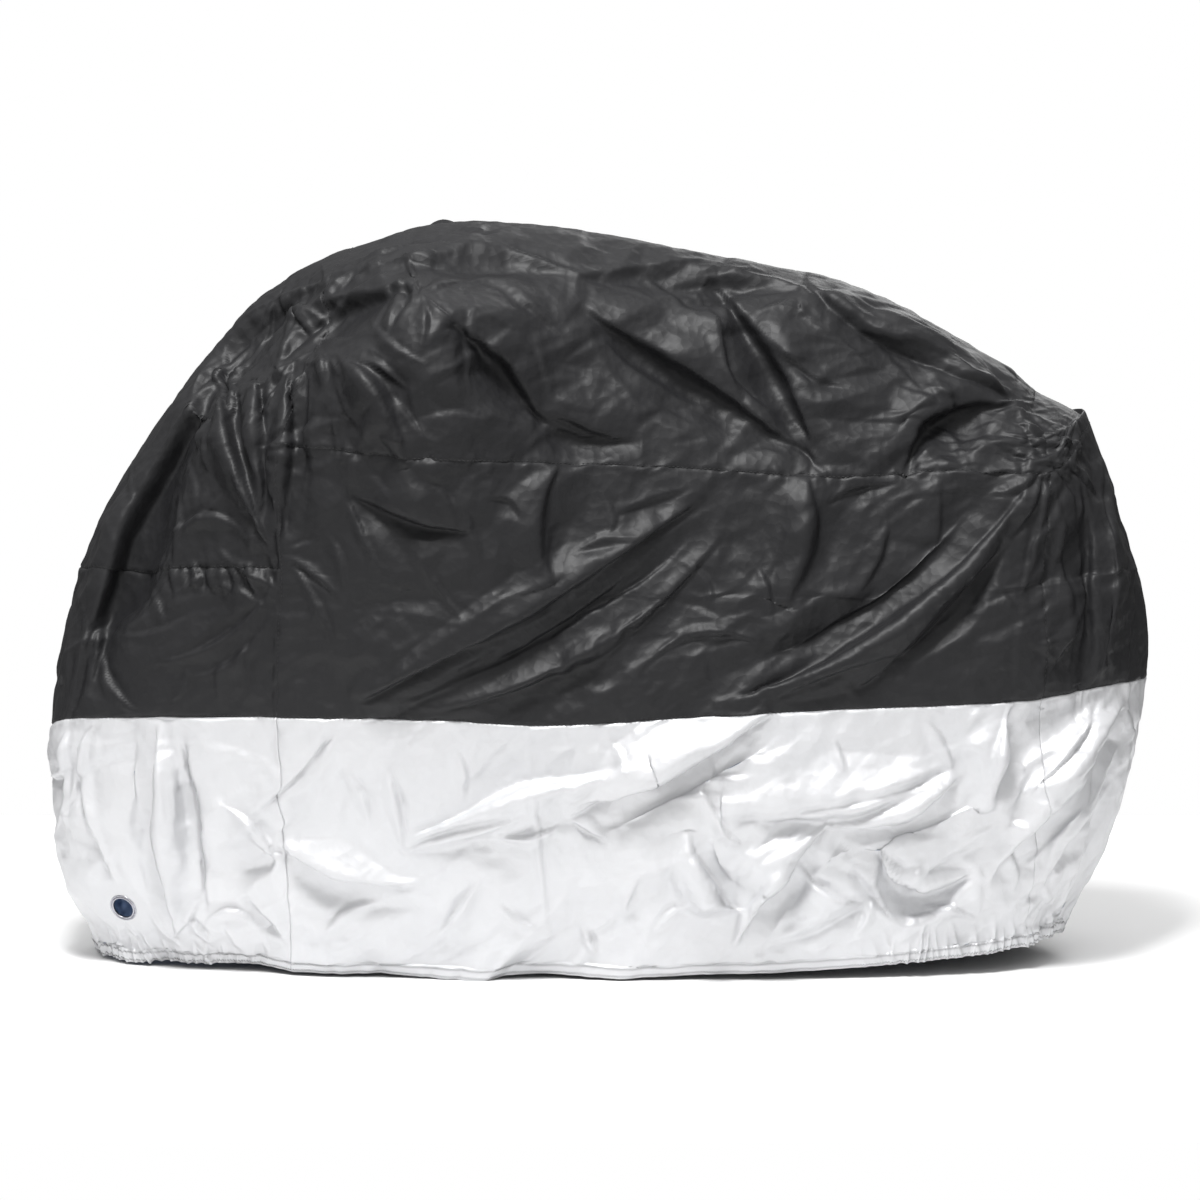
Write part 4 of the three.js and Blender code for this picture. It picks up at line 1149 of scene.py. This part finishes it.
def ruffle(bm, layers):
    def low_and_gathered(vert):
        x = vert.co.x * 1000 - SHIFT[0]
        return vert[layers["up"]] < RUFFLE_TOP and any(low <= x <= high for low, high in GATHERED)

    level_edges = []
    for edge in bm.edges:
        a, b = edge.verts
        rise, run = (abs(a[layers[name]] - b[layers[name]]) for name in ("up", "run"))
        if rise < LEVEL < run and low_and_gathered(a) and low_and_gathered(b):
            level_edges.append(edge)
    bmesh.ops.subdivide_edges(bm, edges=level_edges, cuts=1, use_grid_fill=True)
    bmesh.ops.triangulate(bm, faces=[face for face in bm.faces if len(face.verts) > 4])
    verts = [v for v in bm.verts if v[layers["up"]] < RUFFLE_TOP]
    run = np.array([v[layers["run"]] for v in verts])
    up = np.array([v[layers["up"]] for v in verts])
    place = np.array([v.co for v in verts])
    x = place[:, 0] * 1000 - SHIFT[0]
    near = ruffle_height(PLEATS["near"], run, up, x)
    far = ruffle_height(PLEATS["far"], run, up, x)
    blend = ease(0.5 + place[:, 1] / SIDES_BLEND)
    for vert, high in zip(verts, (1 - blend) * near + blend * far):
        vert.co += vert[layers["out"]] * float(high) / 1000


# %% Holes for the eyelets
HOLE = 25.0  # radius of the hole in the cloth, under the ring
CUT_REACH, RIM_REACH = 0.05, 0.06  # metres from the eyelet's middle


def cut_eyelet_holes(bm):
    for centre, facing in EYELETS.values():
        middle = Vector(to_frame(centre))
        axis = Vector(facing)
        radius = HOLE / 1000

        def spread(point):
            away = point - middle
            return away - axis * away.dot(axis)

        inside = [f for f in bm.faces
                  if (f.calc_center_median() - middle).length < CUT_REACH
                  and spread(f.calc_center_median()).length < radius]
        bmesh.ops.delete(bm, geom=inside, context="FACES")
        rim = {v for e in bm.edges if e.is_boundary for v in e.verts if (v.co - middle).length < RIM_REACH}
        for vert in rim:
            flat = spread(vert.co)
            vert.co += flat.normalized() * radius - flat


# %% Make the panels
CLOTH_THICK = 0.0005
INNER_SIDE = 1  # material slot of the lining side
pieces = {}


def finish_piece(bm, name):
    mesh = bpy.data.meshes.new(name)
    bm.to_mesh(mesh)
    bm.free()
    mesh.shade_smooth()
    piece = bpy.data.objects.new(name, mesh)
    bpy.context.scene.collection.objects.link(piece)
    return piece


def write_uv(bm, layers):
    """Cloth lengths in metres as a UV map."""
    uv = bm.loops.layers.uv.new("cloth")
    for face in bm.faces:
        for loop in face.loops:
            place = loop.vert[layers["cloth"]]
            loop[uv].uv = (place.x / 1000, place.y / 1000)


for name, (node, i_from, i_to, j_from, j_to, sides) in PANELS.items():
    bm = bmesh.new()
    layers = new_layers(bm)
    lay_panel(bm, layers, i_from, i_to, j_from, j_to, sides)
    if j_from == 0:
        ruffle(bm, layers)
    if name == "front_skirt_cloth":
        cut_eyelet_holes(bm)
    write_uv(bm, layers)
    for layer in ("out", "cloth"):
        bm.verts.layers.float_vector.remove(bm.verts.layers.float_vector[layer])
    for layer in ("run", "up"):
        bm.verts.layers.float.remove(bm.verts.layers.float[layer])
    pieces[name] = finish_piece(bm, name)
    if "skirt" in name:
        wall = pieces[name].modifiers.new("thickness", "SOLIDIFY")
        wall.thickness = CLOTH_THICK
        wall.offset = -1
        wall.material_offset = INNER_SIDE
    print(name, len(pieces[name].data.polygons), "faces")

# %% [markdown]
# ## The eyelets
# A lock eyelet is two stamped rings pressed together through the cloth: a domed flange outside, a flat
# washer inside, and a rolled barrel between them. One closed profile, spun round, makes it. It replaces the
# plain ring of the solid model and takes the same place.

# %% Spin the eyelets
RING_STEPS = 96
PROFILE = (  # distance from the axis and height, round the section of the ring
    (21.0, 0.4), (21.2, 1.8), (22.0, 2.9), (23.1, 3.3), (24.2, 2.8), (24.9, 1.4), (25.2, 0.9), (25.6, 1.2),
    (26.3, 2.2), (27.3, 2.5), (28.3, 2.1), (28.9, 1.1), (29.0, 0.1),
    (28.4, -0.2), (25.6, -0.5), (25.0, -1.2), (27.8, -1.6), (27.9, -2.1), (27.2, -2.4), (24.0, -2.5),
    (22.0, -2.2), (21.2, -1.2),
)


def spin_ring(centre, facing):
    bm = bmesh.new()
    verts = [bm.verts.new((radius / 1000, 0, high / 1000)) for radius, high in PROFILE]
    edges = [bm.edges.new((a, b)) for a, b in zip(verts, verts[1:] + verts[:1])]
    bmesh.ops.spin(
        bm, geom=verts + edges, cent=(0, 0, 0), axis=(0, 0, 1),
        angle=math.tau, steps=RING_STEPS, use_merge=True,
    )
    bmesh.ops.recalc_face_normals(bm, faces=bm.faces)
    turn = Vector((0, 0, 1)).rotation_difference(Vector(facing)).to_matrix().to_4x4()
    middle = Matrix.Translation(Vector(to_frame(centre - facing * CLOTH / 2)))
    bmesh.ops.transform(bm, matrix=middle @ turn, verts=bm.verts)
    return bm


for side, (centre, facing) in EYELETS.items():
    pieces[f"{side}_ring"] = finish_piece(spin_ring(centre, facing), f"{side}_ring")
print("eyelets:", [name for name in pieces if name.endswith("ring")])

# %% [markdown]
# ## Stitches
# The casing is sewn with a zigzag, because a straight thread would snap when the elastic stretches, and
# every seam has a row of short stitches beside it. A thread is drawn a little over a millimetre thick, so
# three sides are enough. All threads of one colour make one piece.

# %% Sew
THREAD = 0.7  # half its thickness
THREAD_BACK = 0.4  # how far its two back edges lie behind the middle, as a share of that
ZIGZAG = (2.8, 2.2)  # along the hem for each leg, and up and down from its middle line
HEM_ROWS = (1, 4)  # lines of the grid, about 5 and 19 mm up
STITCH, STITCH_EVERY = 5.5, 9.0


def add_thread(bm, points, outs):
    """A three-sided tube along the points."""
    ahead = np.gradient(points, axis=0)
    side = np.cross(outs, ahead)
    side /= np.linalg.norm(side, axis=1, keepdims=True)
    edges = [points + THREAD * way for way in (outs, side - THREAD_BACK * outs, -side - THREAD_BACK * outs)]
    verts = [[bm.verts.new(at) for at in to_frame(edge)] for edge in edges]
    for a, b in zip(verts, verts[1:] + verts[:1]):
        for k in range(len(points) - 1):
            bm.faces.new((a[k], b[k], b[k + 1], a[k + 1]))


def sample(values, run, at):
    """Points or directions known along a line, at other distances along it."""
    return np.stack([np.interp(at, run, values[:, axis]) for axis in range(3)], axis=1)


def zigzag_hem(bm, side, j, j_above, j_hem):
    run = along_hem[:, j_hem]
    at = np.arange(2.0, run[-1] - 2.0, ZIGZAG[0])
    points, outs = sample(skin[:, j], run, at), sample(out[:, j], run, at)
    rise = sample(skin[:, j_above] - skin[:, j], run, at)
    rise /= np.linalg.norm(rise, axis=1, keepdims=True)
    up = np.interp(at, run, hem_up[:, j])
    pleated = ruffle_height(PLEATS[side], at, up, points[:, 0])
    swing = ZIGZAG[1] * np.where(np.arange(len(at)) % 2, 1, -1)
    add_thread(bm, points + outs * (pleated + THREAD)[:, None] + rise * swing[:, None], outs)


def sew_line(bm, points, outs):
    """A row of separate short stitches along a line of the grid."""
    run = np.concatenate([[0], np.cumsum(np.linalg.norm(np.diff(points, axis=0), axis=1))])
    for start in np.arange(3.0, run[-1] - STITCH, STITCH_EVERY):
        at = start + STITCH * np.array([0, 0.5, 1])
        normals = sample(outs, run, at)
        lift = THREAD * np.array([-0.5, 1.0, -0.5])[:, None]
        add_thread(bm, sample(points, run, at) + normals * lift, normals)


bm = bmesh.new()
for row in HEM_ROWS:
    zigzag_hem(bm, "near", row, row + 1, 0)
    zigzag_hem(bm, "far", LAST_J - row, LAST_J - row - 1, LAST_J)
bmesh.ops.recalc_face_normals(bm, faces=bm.faces)
pieces["hem_stitches"] = finish_piece(bm, "hem_stitches")

bm = bmesh.new()
whole, front, behind = slice(None), slice(0, FRONT_I), slice(FRONT_I, None)
for level, part in ((SEAM, whole), (BELT, front), (WAIST, behind)):
    for j in (ROW[level] + 1, mirrored_row(ROW[level] + 1)):
        sew_line(bm, skin[part, j], out[part, j])
over_the_top = (FRONT_I + 1, slice(ROW[SEAM], mirrored_row(ROW[SEAM])))
sew_line(bm, skin[over_the_top], out[over_the_top])
for part in (slice(ROW[SEAM], ROW[WAIST]), slice(mirrored_row(ROW[WAIST]), mirrored_row(ROW[SEAM]))):
    sew_line(bm, skin[REAR_I - 1, part], out[REAR_I - 1, part])
bmesh.ops.recalc_face_normals(bm, faces=bm.faces)
pieces["seam_stitches"] = finish_piece(bm, "seam_stitches")
for name in ("hem_stitches", "seam_stitches"):
    print(name, len(pieces[name].data.polygons), "faces")

# %% [markdown]
# ## Finishes
# Both cloths are the same satin-coated taffeta, once dyed black and once with a silver coating. Their look
# is nearly all gloss: a broad soft sheen that turns each facet lighter or darker as a whole. The finish
# needs three things, a roughness that varies a little where hands have rubbed it, a net of fine crinkles in
# the bump, and the ribbed weave. The crinkles live in the object's own space, the weave in the cloth's UV
# map.

# %% Node helpers
def new_material(name):
    material = bpy.data.materials.new(name)
    material.use_nodes = True
    nodes = material.node_tree.nodes
    return material, material.node_tree, nodes["Principled BSDF"]


def add_node(tree, kind, inputs=None, **settings):
    node = tree.nodes.new(kind)
    for key, value in settings.items():
        setattr(node, key, value)
    for key, value in (inputs or {}).items():
        if isinstance(value, bpy.types.NodeSocket):
            tree.links.new(value, node.inputs[key])
        else:
            node.inputs[key].default_value = value
    return node


def spread_over(tree, value, low, high):
    """Maps a pattern from 0..1 to low..high."""
    inputs = {"Value": value, "To Min": low, "To Max": high}
    return add_node(tree, "ShaderNodeMapRange", inputs).outputs["Result"]


def noise(tree, scale, detail):
    """Soft noise in the object's own space."""
    place = add_node(tree, "ShaderNodeTexCoord").outputs["Object"]
    inputs = {"Vector": place, "Scale": scale, "Detail": detail}
    return add_node(tree, "ShaderNodeTexNoise", inputs).outputs["Fac"]


def blend_by(tree, value, color_0, color_1):
    """A colour between two, by a pattern from 0 to 1."""
    inputs = {"Factor": value, "A": (*color_0, 1), "B": (*color_1, 1)}
    return add_node(tree, "ShaderNodeMix", inputs, data_type="RGBA").outputs["Result"]


# %% Cloth finish
RUBBED = 0.09  # how much smoother or rougher the cloth is in places
CRINKLES = 55.0  # across a metre
RIBS = 420.0


def cloth_finish(name, color, dark, roughness, specular, metallic, crinkle):
    """A coated taffeta. Color and dark are the ends of its slight change of tone."""
    material, tree, shader = new_material(name)
    place = add_node(tree, "ShaderNodeTexCoord").outputs["Object"]
    cloth = add_node(tree, "ShaderNodeUVMap", uv_map="cloth").outputs["UV"]
    tree.links.new(blend_by(tree, noise(tree, 5.0, 4.0), dark, color), shader.inputs["Base Color"])
    rub = spread_over(tree, noise(tree, 22.0, 5.0), roughness - RUBBED, roughness + RUBBED)
    tree.links.new(rub, shader.inputs["Roughness"])
    shader.inputs["Specular IOR Level"].default_value = specular
    shader.inputs["Metallic"].default_value = metallic
    fine = add_node(tree, "ShaderNodeTexVoronoi", {"Vector": place, "Scale": CRINKLES}).outputs["Distance"]
    crease_bump = add_node(tree, "ShaderNodeBump", {"Height": fine, "Strength": crinkle, "Distance": 0.004})
    weave = add_node(tree, "ShaderNodeTexWave", {"Vector": cloth, "Scale": RIBS}, bands_direction="Y")
    weave_bump = add_node(tree, "ShaderNodeBump", {
        "Height": weave.outputs["Fac"], "Strength": 0.15, "Distance": 0.0001,
        "Normal": crease_bump.outputs["Normal"],
    })
    tree.links.new(weave_bump.outputs["Normal"], shader.inputs["Normal"])
    return material


BLACK = cloth_finish("black_taffeta", (0.015, 0.015, 0.016), (0.010, 0.010, 0.011), 0.50, 0.25, 0.0, 0.3)
SILVER = cloth_finish("silver_taffeta", (0.60, 0.60, 0.61), (0.54, 0.545, 0.56), 0.46, 0.5, 0.35, 0.22)
INNER = cloth_finish("inner_coating_and_glow", (0.34, 0.37, 0.43), (0.22, 0.25, 0.31), 0.55, 0.3, 0.0, 0.3)


# %% Metal finish
def metal_finish():
    material, tree, shader = new_material("bright_nickel")
    worn = noise(tree, 240.0, 6.0)
    tree.links.new(spread_over(tree, worn, 0.14, 0.34), shader.inputs["Roughness"])
    tree.links.new(blend_by(tree, worn, (0.26, 0.26, 0.29), (0.46, 0.46, 0.49)), shader.inputs["Base Color"])
    shader.inputs["Metallic"].default_value = 1.0
    return material


NICKEL = metal_finish()


# %% Thread and lining
GLOW_NEAR, GLOW_FAR = 0.06, 0.16  # metres from the line through both eyelets


def thread_finish(name, color):
    material, _, shader = new_material(name)
    shader.inputs["Base Color"].default_value = (*color, 1)
    shader.inputs["Roughness"].default_value = 0.7
    return material


def paint_glow_near_eyelets(material, low, high):
    """Painted glow: blotchy emission on the lining near the eyelets, so that the inside seen through them
    looks lit; no light really passes through the cloth.
    """
    tree = material.node_tree
    shader = tree.nodes["Principled BSDF"]
    # Painted glow: blotchy emission colour, strongest near the eyelets.
    glow_blots = spread_over(tree, noise(tree, 60.0, 3.0), -1.0, 2.0)
    tree.links.new(blend_by(tree, glow_blots, low, high), shader.inputs["Emission Color"])
    place = add_node(tree, "ShaderNodeTexCoord").outputs["Object"]
    flat = add_node(tree, "ShaderNodeVectorMath", {0: place, 1: (1.0, 0.0, 1.0)}, operation="MULTIPLY")
    eyelet_x, _, eyelet_z = to_frame(EYELETS["near"][0])
    ends = {0: flat.outputs["Vector"], 1: (eyelet_x, 0.0, eyelet_z)}
    gap = add_node(tree, "ShaderNodeVectorMath", ends, operation="DISTANCE").outputs["Value"]
    glow = add_node(tree, "ShaderNodeMapRange", {
        "Value": gap, "From Min": GLOW_NEAR, "From Max": GLOW_FAR, "To Min": 1.0, "To Max": 0.0,
    }).outputs["Result"]
    tree.links.new(glow, shader.inputs["Emission Strength"])


BLACK_THREAD = thread_finish("black_thread", (0.012, 0.012, 0.013))
SILVER_THREAD = thread_finish("silver_thread", (0.34, 0.34, 0.35))
# The lining's own colour is mottled slate blue; on top of it, a painted glow near the eyelets.
paint_glow_near_eyelets(INNER, (0.008, 0.016, 0.040), (0.07, 0.10, 0.17))

# %% [markdown]
# ## Hanging each piece on the body
# Every piece rides on the one body, and the cover's panels and rings hide the solids that they replace. For
# each cloth panel we measure the flat size that it was cut to on the smooth shell, before any fold took cloth
# up, and print it.

def patch_size(i_from, i_to, j_from, j_to, sides):
    """Width, length and area in metres of the cloth that a panel was cut from."""
    rows = slice(j_from, j_to + 1)
    part = shell[i_from:i_to + 1, rows]
    across = np.diff(part, axis=0)[:, :-1]
    up = np.diff(part, axis=1)[:-1]
    area = np.linalg.norm(np.cross(across, up), axis=2).sum() / 1e6
    long = float(run_along(part, 0)[-1].max()) / 1000
    tall = float(run_along(part, 1)[:, -1].max()) / 1000
    halves = 1 if sides in ("near", "far") else 2
    if sides == "over":
        return 2 * tall, long, 2 * area
    return tall, long * halves, area * halves


for name, (node, *patch) in PANELS.items():
    piece = pieces[name]
    silver = "skirt" in name
    piece.data.materials.append(SILVER if silver else BLACK)
    piece.data.materials.append(INNER)
    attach(piece, "root")
    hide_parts(node)
    tall, long, area = patch_size(*patch)
    print(name, "flat", round(tall, 2), "x", round(long, 2), "m, area", round(area, 2))

for side in EYELETS:
    ring = pieces[f"{side}_ring"]
    ring.data.materials.append(NICKEL)
    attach(ring, "root")
    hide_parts(f"{side}_eyelet")

for name, paint, slot in (
    ("hem_stitches", SILVER_THREAD, "silver_cloth"),
    ("seam_stitches", BLACK_THREAD, "black_cloth"),
):
    pieces[name].data.materials.append(paint)
    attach(pieces[name], "root")

# %% [markdown]
# ## Floor, light and camera
# The cover stands on white, square to the camera. A long lens from nine metres keeps its proportions, and a
# little height lets the floor show. Gloss shows what surrounds it, so the surroundings matter as much as
# the lamps: the sky is bright above and in front and dark below and behind, and the floor is a small one,
# because a wide white floor would shine up into every hollow. Only the camera sees the sky as plain white.

# %% Stage
FLOOR_HALF = (2.1, 1.6)
floor_mesh = bmesh.new()
bmesh.ops.create_grid(floor_mesh, x_segments=1, y_segments=1, size=1)
bmesh.ops.scale(floor_mesh, vec=(*FLOOR_HALF, 1), verts=floor_mesh.verts)
bmesh.ops.translate(floor_mesh, vec=(0.27, 0, cad_low.z - 0.004), verts=floor_mesh.verts)
floor = finish_piece(floor_mesh, "floor")
floor_paint, _, floor_shader = new_material("pale_floor")
floor_shader.inputs["Base Color"].default_value = (0.9, 0.9, 0.9, 1)
floor_shader.inputs["Roughness"].default_value = 0.7
floor.data.materials.append(floor_paint)
floor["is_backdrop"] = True

SOFT_BOXES = {  # place, size, watts
    "key_light": ((-0.5, -2.8, 4.6), 1.8, 560.0),
    "top_light": ((0.2, 0.6, 4.4), 3.0, 15.0),
    "back_light": ((2.5, 5.5, 2.6), 3.0, 110.0),
}
AIM = Vector((0.3, 0, -0.75))
for name, (place, size, watts) in SOFT_BOXES.items():
    light = bpy.data.lights.new(name, "AREA")
    light.shape = "SQUARE"
    light.size = size
    light.energy = watts
    lamp = bpy.data.objects.new(name, light)
    lamp.location = place
    lamp.rotation_euler = (AIM - Vector(place)).to_track_quat("-Z", "Y").to_euler()
    bpy.context.scene.collection.objects.link(lamp)

# %% Sky
BRIGHT_WAY = (-0.1, -0.5, 0.86)
SKY_DARK = 0.05
SKY_BRIGHT = 0.8
world = bpy.data.worlds.new("studio")
bpy.context.scene.world = world
world.use_nodes = True
sky = world.node_tree
heading = add_node(sky, "ShaderNodeTexCoord").outputs["Generated"]
facing_light = add_node(sky, "ShaderNodeVectorMath", {0: heading, 1: BRIGHT_WAY}, operation="DOT_PRODUCT")
grade = add_node(sky, "ShaderNodeMapRange", {
    "Value": facing_light.outputs["Value"], "From Min": -0.7, "From Max": 0.9,
    "To Min": SKY_DARK, "To Max": SKY_BRIGHT,
}, interpolation_type="SMOOTHSTEP").outputs["Result"]
to_camera = add_node(sky, "ShaderNodeLightPath").outputs["Is Camera Ray"]
strength = add_node(sky, "ShaderNodeMix", {"Factor": to_camera, "A": grade, "B": 1.0}, data_type="FLOAT")
sky.nodes["Background"].inputs["Color"].default_value = (1, 1, 1, 1)
sky.links.new(strength.outputs["Result"], sky.nodes["Background"].inputs["Strength"])

# %% Camera
FRAME_WIDTH = 2.4  # metres across the frame at the cover
CAMERA_AWAY = 9.0
CAMERA_RISE = math.radians(7)
FRAME_MIDDLE = (1106.0, 0.0, 708.7)  # in the cut's own sizes
camera_data = bpy.data.cameras.new("camera")
camera_data.sensor_width = 36
camera_data.lens = 36 * CAMERA_AWAY / FRAME_WIDTH
camera = bpy.data.objects.new("camera", camera_data)
back = Vector((0, -math.cos(CAMERA_RISE), math.sin(CAMERA_RISE)))
camera.location = Vector(to_frame(FRAME_MIDDLE)) + back * CAMERA_AWAY
camera.rotation_euler = (-back).to_track_quat("-Z", "Y").to_euler()
bpy.context.scene.collection.objects.link(camera)
bpy.context.scene.camera = camera
bpy.context.scene.view_settings.view_transform = "Standard"

# %% [markdown]
# ## The size at the end
# The dressed cover should keep the box of its solids, so both boxes are printed side by side.

# %% Finish
low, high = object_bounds()
print("dressed box:", [round(v, 3) for v in high - low])
print("solid box:", [round(v, 3) for v in cad_high - cad_low])
